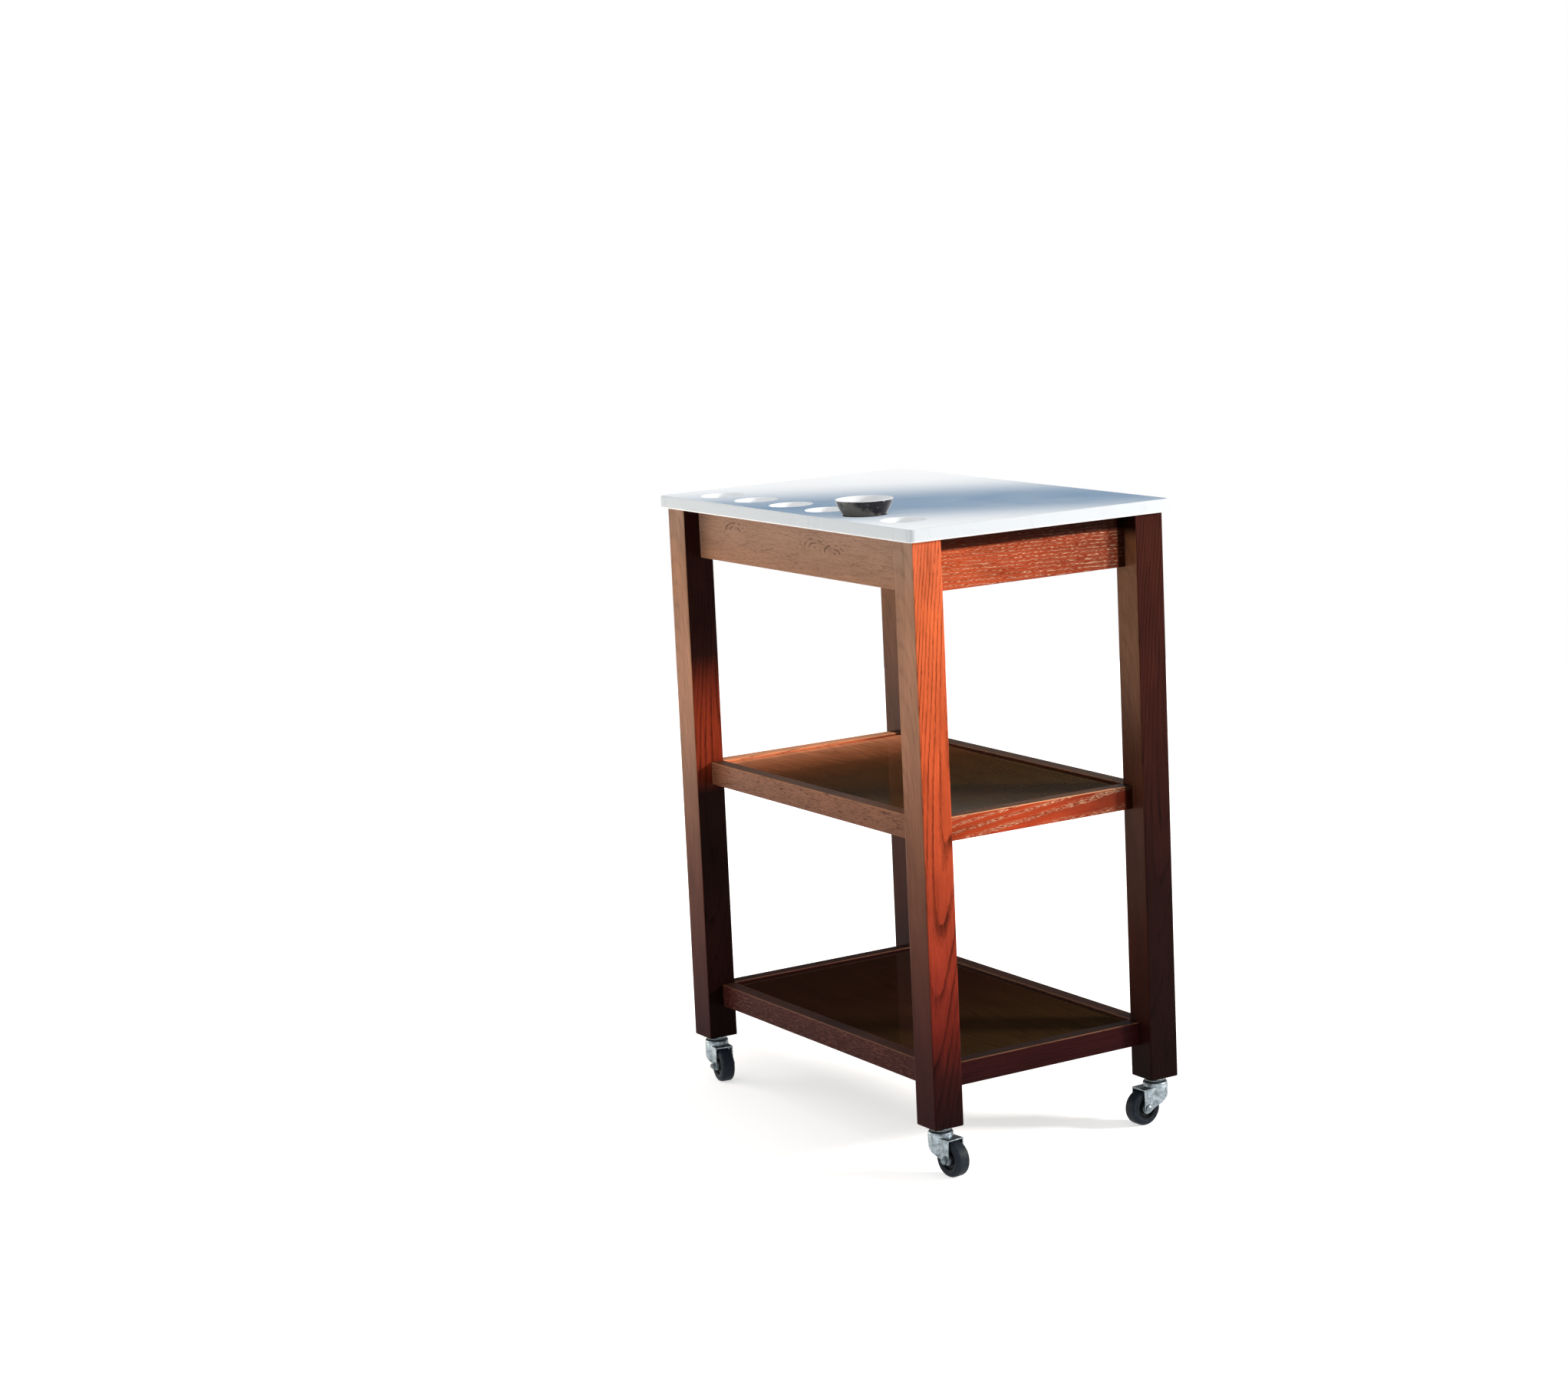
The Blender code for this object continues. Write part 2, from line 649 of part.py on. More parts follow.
def build_fork(name, swivel):
    """Stamped yoke: hood and two sides round the wheel, a plate over it and a dome under the balls."""
    foot = AXLE_HEIGHT - FORK_LUG_RADIUS - OVERCUT
    outline = keyhole(DOME_RADIUS, FORK_OUTER_WIDTH / 2, FORK_FRONT)
    fork = make_part(name, prism_mesh(name, outline, foot, PLATE_TOP), ZINC, swivel)

    dome_radius = DOME_RADIUS - GAP
    rounding = arc((dome_radius - DOME_ROUND, DOME_TOP - DOME_ROUND), DOME_ROUND, 90.0, 0.0, DOME_STEPS)
    inside_plate = PLATE_TOP - FORK_SHEET / 2
    dome_profile = [(0.0, DOME_TOP)] + rounding + [(dome_radius, inside_plate), (0.0, inside_plate)]
    dome = make_cutter(name + "_dome", turned_mesh("dome", dome_profile, DOME_SEGMENTS), swivel)
    combine(fork, dome, "UNION")

    inside = keyhole(DOME_RADIUS - FORK_SHEET, FORK_INNER_WIDTH / 2, FORK_FRONT + OVERCUT)
    hollow = prism_mesh("fork_hollow", inside, foot - OVERCUT, PLATE_UNDERSIDE)
    combine(fork, make_cutter(name + "_hollow", hollow, swivel))

    width = FORK_OUTER_WIDTH + DOME_RADIUS
    skirt = prism_mesh("fork_skirt", fork_side_cut(), -width, width)
    skirt.transform(Matrix.Rotation(math.radians(90), 4, "X"))
    combine(fork, make_cutter(name + "_skirt", skirt, swivel))
    combine(fork, make_cutter(name + "_bores", to_mesh("fork_bores", add_fork_bores), swivel))
    return fork


def lay_along_axle(mesh):
    """Turns a mesh made about Z so that its axis lies along the axle, its top towards +Y."""
    mesh.transform(Matrix.Rotation(math.radians(-90), 4, "X"))
    return mesh


def axle_bolt_mesh():
    """Bolt with a domed head outside one fork side and a threaded end past the nut."""
    seat = FORK_OUTER_WIDTH / 2 + GAP
    end = -seat - NUT_HEIGHT - GAP - THREAD_END
    turns = [math.pi / 2 * i / HEAD_STEPS for i in range(HEAD_STEPS + 1)]
    edge = seat + AXLE_HEAD_EDGE
    dome = [(AXLE_HEAD_RADIUS * math.sin(turn), edge + AXLE_HEAD_RISE * math.cos(turn)) for turn in turns]
    shank = [
        (AXLE_HEAD_RADIUS, seat),
        (AXLE_RADIUS, seat),
        (AXLE_RADIUS, end + THREAD_CHAMFER),
        (AXLE_RADIUS - THREAD_CHAMFER, end),
        (0.0, end),
    ]
    return lay_along_axle(turned_mesh("axle_bolt", dome + shank, SMALL_SEGMENTS))


def build_axle_nut(name, axle):
    """Hexagon nut on the bolt's threaded end."""
    near = -FORK_OUTER_WIDTH / 2 - GAP
    far = near - NUT_HEIGHT

    def hexagon(bm):
        add_rod(bm, (0.0, far, 0.0), (0.0, near, 0.0), NUT_RADIUS, 6)

    def bore(bm):
        add_rod(bm, (0.0, far - OVERCUT, 0.0), (0.0, near + OVERCUT, 0.0), AXLE_RADIUS + GAP, SMALL_SEGMENTS)

    nut = make_part(name, to_mesh(name, hexagon), ZINC, axle)
    combine(nut, make_cutter(name + "_bore", to_mesh("nut_bore", bore), axle))


def axle_bush_mesh():
    """Flanged sleeve on the bolt, clamped between the fork's sides, on which the hub runs."""
    flange = FORK_INNER_WIDTH / 2 - GAP
    bore = AXLE_RADIUS + GAP
    upper = [
        (bore, flange),
        (BUSH_FLANGE_RADIUS, flange),
        (BUSH_FLANGE_RADIUS, flange - BUSH_FLANGE),
        (BUSH_RADIUS, flange - BUSH_FLANGE),
    ]
    profile = upper + [(radius, -height) for radius, height in reversed(upper)]
    return lay_along_axle(turned_mesh("axle_bush", profile, SMALL_SEGMENTS, ring=True))


def hub_mesh():
    """Wheel centre: a boss that runs on the bushes, a thinner web and a rim inside the tyre."""
    bore = BUSH_RADIUS + GAP
    rim = WHEEL_RADIUS - TYRE_DEPTH - GAP
    web = rim - HUB_RIM
    boss_half = FORK_INNER_WIDTH / 2 - GAP - BUSH_FLANGE - GAP
    half = TYRE_WIDTH / 2 - HUB_INSET
    web_half = TYRE_WIDTH / 2 - HUB_WEB_INSET
    upper = [(bore, boss_half), (HUB_BOSS_RADIUS, boss_half), (web, web_half), (rim, half)]
    profile = upper + [(radius, -height) for radius, height in reversed(upper)]
    return lay_along_axle(turned_mesh("hub", profile, HUB_SEGMENTS, ring=True))


def tyre_mesh():
    """Solid rubber tyre with rounded shoulders, a flat of its facets on the floor."""
    seat = WHEEL_RADIUS - TYRE_DEPTH
    half = TYRE_WIDTH / 2
    centre = (WHEEL_RADIUS - TYRE_SHOULDER, half - TYRE_SHOULDER)
    shoulder = arc(centre, TYRE_SHOULDER, 90.0, 0.0, SHOULDER_STEPS)
    side = [(seat, half)] + shoulder
    profile = side + [(radius, -height) for radius, height in reversed(side)]
    return lay_along_axle(turned_mesh("tyre", profile, TYRE_SEGMENTS, ring=True))


def build_castor(corner):
    """One swivel castor, with its fork on the swivel's axis and its wheel on the axle's."""
    prefix = "castor_" + corner
    x, y = leg_centre(corner)
    fixed = make_empty(prefix + "_stem_axis", (x, y, 0.0))
    swivel = make_empty(prefix + "_swivel_axis", (x, y, 0.0))
    swivel.rotation_euler = (0.0, 0.0, math.radians(CASTOR_ANGLES[corner]))
    axle = make_empty(prefix + "_axle_axis", (TRAIL, 0.0, AXLE_HEIGHT), swivel)

    make_part(prefix + "_socket", socket_mesh(), ZINC, fixed)
    make_part(prefix + "_race", race_mesh(), ZINC, fixed)
    build_ball_cage(prefix + "_ball_cage", swivel)
    build_fork(prefix + "_fork", swivel)
    make_part(prefix + "_axle_bolt", axle_bolt_mesh(), ZINC, axle)
    build_axle_nut(prefix + "_axle_nut", axle)
    make_part(prefix + "_axle_bush", axle_bush_mesh(), STEEL, axle)
    make_part(prefix + "_hub", hub_mesh(), HUB_PLASTIC, axle)
    make_part(prefix + "_tyre", tyre_mesh(), RUBBER, axle)


def main():
    """Builds the whole trolley."""
    build_stone_top()
    build_bowl()
    for corner in CORNERS:
        build_leg(corner)
    for level in LEVELS:
        for side in SIDES:
            build_rail(level, side)
    for shelf in SHELVES:
        build_shelf(shelf)
    for corner in CORNERS:
        build_corner_block(corner)
        build_castor(corner)


main()
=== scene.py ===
"""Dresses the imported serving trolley: stained ash frame, quartz top, glazed bowl and zinc-plated castors.

Metres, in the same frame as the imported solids: +X along the trolley, -Y towards the row of recesses, +Z up.
"""

import logging
import math
from dataclasses import dataclass
from enum import Enum
from typing import Any

import bmesh
import bpy
from mathutils import Euler, Matrix, Vector


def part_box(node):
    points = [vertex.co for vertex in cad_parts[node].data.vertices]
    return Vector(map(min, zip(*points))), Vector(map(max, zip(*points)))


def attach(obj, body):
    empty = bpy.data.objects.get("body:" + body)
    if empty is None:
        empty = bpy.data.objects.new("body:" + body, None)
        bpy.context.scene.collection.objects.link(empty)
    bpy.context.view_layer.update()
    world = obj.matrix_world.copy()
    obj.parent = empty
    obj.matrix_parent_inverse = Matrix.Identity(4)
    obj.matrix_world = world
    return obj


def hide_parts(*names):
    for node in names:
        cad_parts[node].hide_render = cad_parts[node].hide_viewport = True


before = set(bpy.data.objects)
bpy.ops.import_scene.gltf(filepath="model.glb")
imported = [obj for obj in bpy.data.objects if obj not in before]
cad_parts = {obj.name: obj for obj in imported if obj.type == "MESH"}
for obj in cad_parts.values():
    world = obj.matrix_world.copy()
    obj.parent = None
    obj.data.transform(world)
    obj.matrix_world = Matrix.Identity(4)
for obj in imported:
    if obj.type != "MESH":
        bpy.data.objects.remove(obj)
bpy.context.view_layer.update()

log = logging.getLogger("serving_trolley")

Material = bpy.types.Material
Mesh = bpy.types.Mesh
Node = bpy.types.Node
Socket = bpy.types.NodeSocket
Thing = bpy.types.Object
Tree = bpy.types.NodeTree
Source = Node | Socket
Colour = tuple[float, float, float, float]
Point = tuple[float, float, float]
Profile = list[tuple[float, float]]
Ramp = tuple[tuple[float, str], ...]
Steps = tuple[tuple[float, float], ...]

MM = 0.001
WHITE = "#ffffff"
BLACK = "#000000"

# Scale of the wave texture at which its rings lie one metre apart
WAVE_UNIT = 2 * math.pi / 20
# How dark one year's growth is, from its start to the next year's
RING_TONE: Steps = ((0.0, 1.0), (0.09, 0.85), (0.34, 0.0), (0.97, 0.0), (1.0, 0.6))
# Where noise along the grain turns into a pore
PORE_DASH: Steps = ((0.53, 0.0), (0.64, 1.0))
# One line of the arcs round a knot, across its width
KNOT_LINE: Steps = ((0.0, 0.0), (0.06, 1.0), (0.20, 1.0), (0.30, 0.0))
# A thin thread where swirling noise passes its middle
QUARTZ_THREAD: Steps = ((0.470, 0.0), (0.494, 1.0), (0.506, 1.0), (0.530, 0.0))
# How far up a face looks: from there it counts as a rounded upper edge, and as a level top
EDGE_FROM, EDGE_TO = 0.24, 0.36
TOP_FROM, TOP_TO = 0.94, 0.97


def linear(hex_colour: str) -> Colour:
    """Turns an sRGB hex colour into the linear colour that shaders take.

    Args:
        hex_colour: A colour such as "#c4552f".

    Returns:
        Red, green, blue and an alpha of one.
    """
    channels = [int(hex_colour[i:i + 2], 16) / 255 for i in (1, 3, 5)]
    red, green, blue = [c / 12.92 if c <= 0.04045 else ((c + 0.055) / 1.055) ** 2.4 for c in channels]
    return red, green, blue, 1.0


def fill_inputs(tree: Tree, node: Node, inputs: dict[Any, Any]) -> None:
    """Sets or links a node's inputs.

    Args:
        tree: The node tree.
        node: The node that gets the inputs.
        inputs: Input name or number to a value or hex colour, or to the output socket that feeds it. A node
            stands for its first output.
    """
    for name, value in inputs.items():
        if isinstance(value, Node):
            value = value.outputs[0]
        if isinstance(value, Socket):
            tree.links.new(value, node.inputs[name])
        else:
            node.inputs[name].default_value = linear(value) if isinstance(value, str) else value


def add_node(tree: Tree, kind: str, inputs: dict[Any, Any] | None = None, **settings: Any) -> Node:
    """Adds a node, gives it its settings and fills or links its inputs.

    Args:
        tree: The node tree that gets the node.
        kind: The node's type name, without the leading "ShaderNode".
        inputs: What fill_inputs takes.
        **settings: Attributes of the node. Pairs of a place and a hex colour or grey value, named "stops",
            fill a colour ramp.

    Returns:
        The new node.
    """
    node = tree.nodes.new("ShaderNode" + kind)
    stops = settings.pop("stops", ())
    for name, value in settings.items():
        setattr(node, name, value)
    if stops:
        elements = node.color_ramp.elements
        while len(elements) < len(stops):
            elements.new(1.0)
        for element, (place, shade) in zip(elements, stops):
            element.position = place
            element.color = linear(shade) if isinstance(shade, str) else (shade, shade, shade, 1.0)
    fill_inputs(tree, node, inputs or {})
    return node


def new_material(name: str) -> tuple[Material, Tree, Node]:
    """Makes a material with one Principled BSDF.

    Args:
        name: What the real material is called.

    Returns:
        The material, its node tree and its Principled BSDF.
    """
    material = bpy.data.materials.new(name)
    material.use_nodes = True
    return material, material.node_tree, material.node_tree.nodes["Principled BSDF"]


class Grain(Enum):
    """Which way a board's grain runs, with the turn that brings it onto local Z."""

    ALONG_X = (0.0, -90.0, 0.0)
    ALONG_Y = (90.0, 0.0, 0.0)
    ALONG_Z = (0.0, 0.0, 0.0)


class Axis(Enum):
    """The direction along which a board's stain changes, with what brings a place along it into 0 to 1."""

    X = ("X", 0.5)
    Y = ("Y", 0.5)
    Z = ("Z", 0.0)


class Pores(Enum):
    """What shows in the open pores: dark stain, pale painted glints of light, or dust that has settled near
    the floor.
    """

    STAINED = "#2b100c"
    PALE_GLINT = "#f0cfa8"
    DUSTY = "#7c5145"


class Stain(Enum):
    """Colours of the one stain on the boards, with light and shade painted in: a lit and a shaded colour
    for the two kinds of face, painted shade towards the floor and the back, painted shadow strips, a
    painted sun patch and a painted sheen on the shelf panels.

    Most run up from the floor in metres; those along a board start half a metre before its middle.
    """

    # Painted light: the lit faces towards +X, painted darker towards the floor, where shade falls
    ORANGE = ((0.08, "#200e0d"), (0.14, "#331311"), (0.20, "#621f17"), (0.27, "#8c3022"), (0.42, "#b0462a"),
              (0.55, "#d05832"), (0.78, "#ea6f41"), (0.87, "#de6d46"))
    # Painted shade: the back right leg's face towards +X, which lies in shadow
    MAROON_IN_SHADE = ((0.08, "#170909"), (0.34, "#220e0c"), (0.55, "#361712"), (0.80, "#411d17"))
    # Painted shade with a painted sun patch from 0.50 to 0.56 m: the front left leg's inner face
    SHADED = ((0.08, "#180908"), (0.45, "#22100d"), (0.50, "#903620"), (0.56, "#903620"), (0.66, "#2c130f"),
              (0.80, "#2a1310"))
    # Painted shade and sheen: the faces towards -Y, painted darker towards the floor, where shade falls
    BROWN = ((0.08, "#301212"), (0.20, "#47201b"), (0.34, "#603629"), (0.46, "#7e4f3a"), (0.60, "#a36d50"),
             (0.80, "#a8775a"), (0.86, "#a47f6a"))
    # Painted shade on the back legs' and back boards' faces, with a painted shadow strip under the slab's
    # edge
    BROWN_IN_SHADE = ((0.08, "#1a0a0a"), (0.26, "#3e1c14"), (0.54, "#523124"), (0.72, "#7f543a"),
                  (0.845, "#7b5036"), (0.862, "#190906"))
    # Painted shade: the end boards darken towards the back
    APRON_END = ((0.36, "#c04e29"), (0.48, "#ab4325"), (0.62, "#87341f"))
    # Painted shade: the low end rails, dark near the floor
    FOOT_END = ((0.10, "#2c1011"), (0.16, "#341214"))
    # Painted shade: darker towards the back
    SHELF_END = ((0.36, "#b24222"), (0.52, "#ae4022"), (0.61, "#80301c"))
    # Painted sheen: a pale warm reflection at the left end of the middle shelf, fading to the right
    VENEER_WARM_SHEEN = ((0.22, "#ee9c70"), (0.29, "#b8704a"), (0.36, "#744526"), (0.43, "#56361c"),
                   (0.60, "#4a3518"), (0.80, "#4a361a"))
    # Painted sheen: lighter towards the right end of the low shelf
    VENEER_DARK = ((0.20, "#2b1811"), (0.42, "#301a12"), (0.55, "#382314"), (0.80, "#42301c"))
    LIT_END = ((0.36, "#fb9a6a"), (0.52, "#f08a5c"), (0.60, "#a04a2c"))
    # Painted shade: the back rails' lips, darker towards the floor
    LIP = ((0.13, "#2c110d"), (0.45, "#4a251c"))
    BARE = ((0.70, "#b48d5c"), (0.90, "#b48d5c"))


@dataclass(frozen=True)
class PaintedEdgesAndTops:
    """Painted light on a rail: shares of a painted highlight on its upper edges and top, and a darker
    top that paints a dark reflection.
    """

    edge: float = 0.0
    top: float = 0.0
    upper: str = ""
    rubbed: str = "#e8a87c"


@dataclass(frozen=True)
class StainedAsh:
    """Sawn and sanded ash, stained red-brown and sprayed with satin lacquer.

    Ash is ring-porous: each year's ring starts with a line of coarse open pores that shows as dashes along
    the board, and a flat-sawn face shows the rings as nested arches. The stain sinks deepest into the pores.
    Light and shade are painted into the colour: each kind of face takes its own lit or shaded colour, the
    colour is painted darker towards the floor where shade falls, painted shadows fall past given places, and
    upper edges carry painted highlights. The thin lacquer leaves the pores open, so the gloss is broken into
    fine streaks.
    """

    grain: Grain
    heart: Point
    face: Point
    flat: Stain
    quarter: Stain
    pores: Pores = Pores.STAINED
    axis: Axis = Axis.Z
    # Painted shadow past each given place along an axis
    shadow_past: tuple[tuple[Axis, float], ...] = ()
    edge_paint: PaintedEdgesAndTops = PaintedEdgesAndTops()
    curls: tuple[Point, ...] = ()
    rise: float = -0.04
    drift: float = 0.0
    wander_mm: float = 3.0
    bend_mm: float = 45.0
    ring_mm: float = 3.6
    ring_depth: float = 0.42
    year_mm: float = 9.0
    pore_mm: float = 0.7
    pore_share: float = 0.6
    pore_spread: float = 0.11
    pore_matt: float = 0.24
    fibre_mm: float = 2.2
    fibre_depth: float = 0.16
    knot_mm: float = 5.5
    knot_patch_mm: float = 9.0
    relief: float = 0.25
    relief_mm: float = 0.25
    quarter_share: float = 0.25
    roughness: float = 0.34
    specular: float = 0.025
    mottle: float = 0.10
    mottle_mm: float = 30.0
    shade_mm: float = 2.0
    shade_left: float = 0.10

    @property
    def turn(self) -> Euler:
        """The turn that brings the grain onto local Z."""
        return Euler([math.radians(angle) for angle in self.grain.value])

    def material(self, name: str) -> Material:
        """Makes the board's material.

        Args:
            name: The piece that the board is.

        Returns:
            The material.
        """
        material, tree, shader = new_material("stained_ash_" + name)
        coordinates = add_node(tree, "TexCoord")
        place, normal = coordinates.outputs["Object"], coordinates.outputs["Normal"]
        flatness = self._flatness(tree, normal)
        along = add_node(tree, "Mapping", {"Vector": place, "Rotation": self.turn})
        bent = self._wander(tree, along)
        rings = self._rings(tree, bent)
        fibres = self._fibres(tree, bent)
        clear = add_node(tree, "MapRange", {"Value": flatness, "To Min": self.quarter_share})
        pores = self._pores(tree, bent, rings, clear)
        for curl in self.curls:
            arcs = self._curl(tree, bent, curl)
            pores = add_node(tree, "Math", {0: pores, 1: arcs}, operation="MAXIMUM")

        band = add_node(tree, "ValToRGB", {"Fac": rings}, stops=RING_TONE)
        shown = add_node(tree, "Math", {0: band, 1: clear}, operation="MULTIPLY")
        strong = add_node(tree, "Math", {0: shown, 1: self._strength(tree, bent)}, operation="MULTIPLY")
        grain = add_node(tree, "Math", {0: strong, 1: self.ring_depth, 2: fibres}, operation="MULTIPLY_ADD")
        tone = add_node(tree, "Math", {0: 1.0, 1: grain}, operation="SUBTRACT")
        edge_painted = self._paint_edges_and_tops(tree, normal, self._stain(tree, place, flatness))
        toned = add_node(tree, "MixRGB", {"Fac": 1.0, "Color1": edge_painted, "Color2": tone}, blend_type="MULTIPLY")
        pored = add_node(tree, "MixRGB", {"Fac": pores, "Color1": toned, "Color2": self.pores.value})
        depth = self._mottle_and_shadow(tree, place, bent)
        colour = add_node(tree, "MixRGB", {"Fac": 1.0, "Color1": pored, "Color2": depth},
                          blend_type="MULTIPLY")

        matt = add_node(tree, "MapRange", {"Value": pores, "To Min": self.roughness,
                                           "To Max": self.roughness + self.pore_matt})
        relief = add_node(tree, "Math", {0: pores, 1: fibres}, operation="ADD")
        bump = add_node(tree, "Bump", {"Height": relief, "Strength": self.relief,
                                       "Distance": self.relief_mm * MM}, invert=True)
        fill_inputs(tree, shader, {"Base Color": colour, "Roughness": matt, "Normal": bump,
                                   "Specular IOR Level": self.specular})
        return material

    def _streaks(self, tree: Tree, place: Source, width_mm: float, share: float, detail: float = 3.0,
                 roughness: float = 0.5) -> Node:
        """Noise that is drawn out along the grain.

        Args:
            tree: The board's node tree.
            place: Places with the grain along Z.
            width_mm: How wide a streak is.
            share: Its width as a share of its length.
            detail: How many finer layers it has.
            roughness: How strong these are.

        Returns:
            The noise.
        """
        drawn = add_node(tree, "Mapping", {"Vector": place, "Scale": (1.0, 1.0, share)})
        return add_node(tree, "TexNoise", {"Vector": drawn, "Scale": 1 / (width_mm * MM), "Detail": detail,
                                           "Roughness": roughness})

    def _flatness(self, tree: Tree, normal: Socket) -> Node:
        """Finds the faces that lie along the rings.

        Args:
            tree: The board's node tree.
            normal: Which way a face looks.

        Returns:
            One on faces that lie along the rings, nought on faces that cut them square.
        """
        facing = add_node(tree, "VectorMath", {0: normal, 1: self.face}, operation="DOT_PRODUCT")
        either = add_node(tree, "Math", {0: facing.outputs["Value"]}, operation="ABSOLUTE")
        return add_node(tree, "MapRange", {"Value": either, "From Min": 0.55, "From Max": 0.85})

    def _stain(self, tree: Tree, place: Socket, flatness: Node) -> Node:
        """Colours both kinds of face along the board.

        Args:
            tree: The board's node tree.
            place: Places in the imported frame.
            flatness: One on flat-sawn faces, nought on quarter-sawn ones.

        Returns:
            The stain's colour.
        """
        axis, shift = self.axis.value
        parts = add_node(tree, "SeparateXYZ", {"Vector": place})
        spot = add_node(tree, "Math", {0: parts.outputs[axis], 1: shift}, operation="ADD")
        flat = add_node(tree, "ValToRGB", {"Fac": spot}, stops=self.flat.value)
        quarter = add_node(tree, "ValToRGB", {"Fac": spot}, stops=self.quarter.value)
        return add_node(tree, "MixRGB", {"Fac": flatness, "Color1": quarter, "Color2": flat})

    def _paint_edges_and_tops(self, tree: Tree, normal: Socket, stain: Node) -> Node:
        """Paints highlights on upper edges and tops, and a dark reflection on top where a board lies level.

        Args:
            tree: The board's node tree.
            normal: Which way a face looks.
            stain: The stain.

        Returns:
            The stain with its painted highlights and dark reflections.
        """
        height = add_node(tree, "SeparateXYZ", {"Vector": normal}).outputs["Z"]
        if self.edge_paint.upper:
            level = add_node(tree, "MapRange", {"Value": height, "From Min": TOP_FROM, "From Max": TOP_TO})
            stain = add_node(tree, "MixRGB", {"Fac": level, "Color1": stain, "Color2": self.edge_paint.upper})
        share = add_node(tree, "ValToRGB", {"Fac": height}, stops=(
            (EDGE_FROM, 0.0), (EDGE_TO, self.edge_paint.edge), (TOP_FROM, self.edge_paint.edge), (TOP_TO, self.edge_paint.top)))
        return add_node(tree, "MixRGB", {"Fac": share, "Color1": stain, "Color2": self.edge_paint.rubbed})

    def _mottle_and_shadow(self, tree: Tree, place: Socket, bent: Node) -> Node:
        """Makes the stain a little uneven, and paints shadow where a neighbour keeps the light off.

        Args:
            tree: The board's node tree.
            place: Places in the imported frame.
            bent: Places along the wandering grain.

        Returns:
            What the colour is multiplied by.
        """
        cloud = self._streaks(tree, bent, self.mottle_mm, 0.3)
        depth = add_node(tree, "MapRange", {"Value": cloud, "From Min": 0.3, "From Max": 0.7,
                                            "To Min": 1.0 - self.mottle, "To Max": 1.0 + self.mottle})
        parts = add_node(tree, "SeparateXYZ", {"Vector": place})
        for axis, limit in self.shadow_past:
            edge = add_node(tree, "MapRange", {"Value": parts.outputs[axis.value[0]],
                                               "From Min": limit - self.shade_mm * MM,
                                               "From Max": limit + self.shade_mm * MM,
                                               "To Min": 1.0, "To Max": self.shade_left})
            depth = add_node(tree, "Math", {0: depth, 1: edge}, operation="MULTIPLY")
        return depth

    def _wander(self, tree: Tree, along: Node) -> Node:
        """Bends the straight grain by a few millimetres over a hand's width.

        Args:
            tree: The board's node tree.
            along: Places with the grain along Z.

        Returns:
            Places along the wandering grain.
        """
        noise = self._streaks(tree, along, self.bend_mm, 0.25, roughness=0.4)
        middle = add_node(tree, "VectorMath", {0: noise.outputs["Color"], 1: (0.5, 0.5, 0.5)},
                          operation="SUBTRACT")
        small = add_node(tree, "VectorMath", {0: middle, "Scale": self.wander_mm * MM}, operation="SCALE")
        return add_node(tree, "VectorMath", {0: along, 1: small}, operation="ADD")

    def _rings(self, tree: Tree, bent: Node) -> Socket:
        """Draws year rings about a heart that slants behind the face, so that the face shows long arches.

        Args:
            tree: The board's node tree.
            bent: Places along the wandering grain.

        Returns:
            How far a place is through its year, from nought to one.
        """
        turn = self.turn.to_matrix()
        face = turn @ Vector(self.face)
        across = face.cross(Vector((0, 0, 1)))
        heart = turn @ Vector(self.heart)
        from_heart = add_node(tree, "VectorMath", {0: bent, 1: heart}, operation="SUBTRACT")
        parts = add_node(tree, "SeparateXYZ", {"Vector": from_heart})
        slope = face * self.rise + across * self.drift
        slant = add_node(tree, "VectorMath", {0: slope, "Scale": parts.outputs["Z"]}, operation="SCALE")
        slanted = add_node(tree, "VectorMath", {0: from_heart, 1: slant}, operation="ADD")
        wave = add_node(tree, "TexWave", {"Vector": slanted, "Scale": WAVE_UNIT / (self.ring_mm * MM),
                                          "Distortion": 0.4, "Detail": 2.0, "Detail Scale": 1.3},
                        wave_type="RINGS", rings_direction="Z", wave_profile="SAW")
        return wave.outputs["Fac"]

    def _strength(self, tree: Tree, bent: Node) -> Node:
        """How strongly a ring shows, which changes from year to year and along the board."""
        years = self._streaks(tree, bent, self.year_mm, 0.15)
        return add_node(tree, "MapRange", {"Value": years, "From Min": 0.35, "From Max": 0.65,
                                           "To Min": 0.35, "To Max": 1.45})

    def _pores(self, tree: Tree, bent: Node, rings: Socket, clear: Node) -> Node:
        """Draws open pores: dashes along the grain, crowded at the start of each ring.

        Real pores are about 0.3 mm across; they are drawn wider here so that they show in the picture.

        Args:
            tree: The board's node tree.
            bent: Places along the wandering grain.
            rings: How far a place is through its year.
            clear: How clearly the kind of face shows its grain.

        Returns:
            How strongly a pore shows.
        """
        noise = self._streaks(tree, bent, self.pore_mm, 0.07, 1.0, 0.4)
        crowd = add_node(tree, "ValToRGB", {"Fac": rings}, stops=(
            (0.0, 1.0), (0.22, max(0.75, self.pore_spread)), (0.45, self.pore_spread),
            (0.85, self.pore_spread), (1.0, 0.9)))
        shown = add_node(tree, "ValToRGB", {"Fac": noise}, stops=PORE_DASH)
        for share in (crowd, clear, self.pore_share):
            shown = add_node(tree, "Math", {0: shown, 1: share}, operation="MULTIPLY")
        return shown

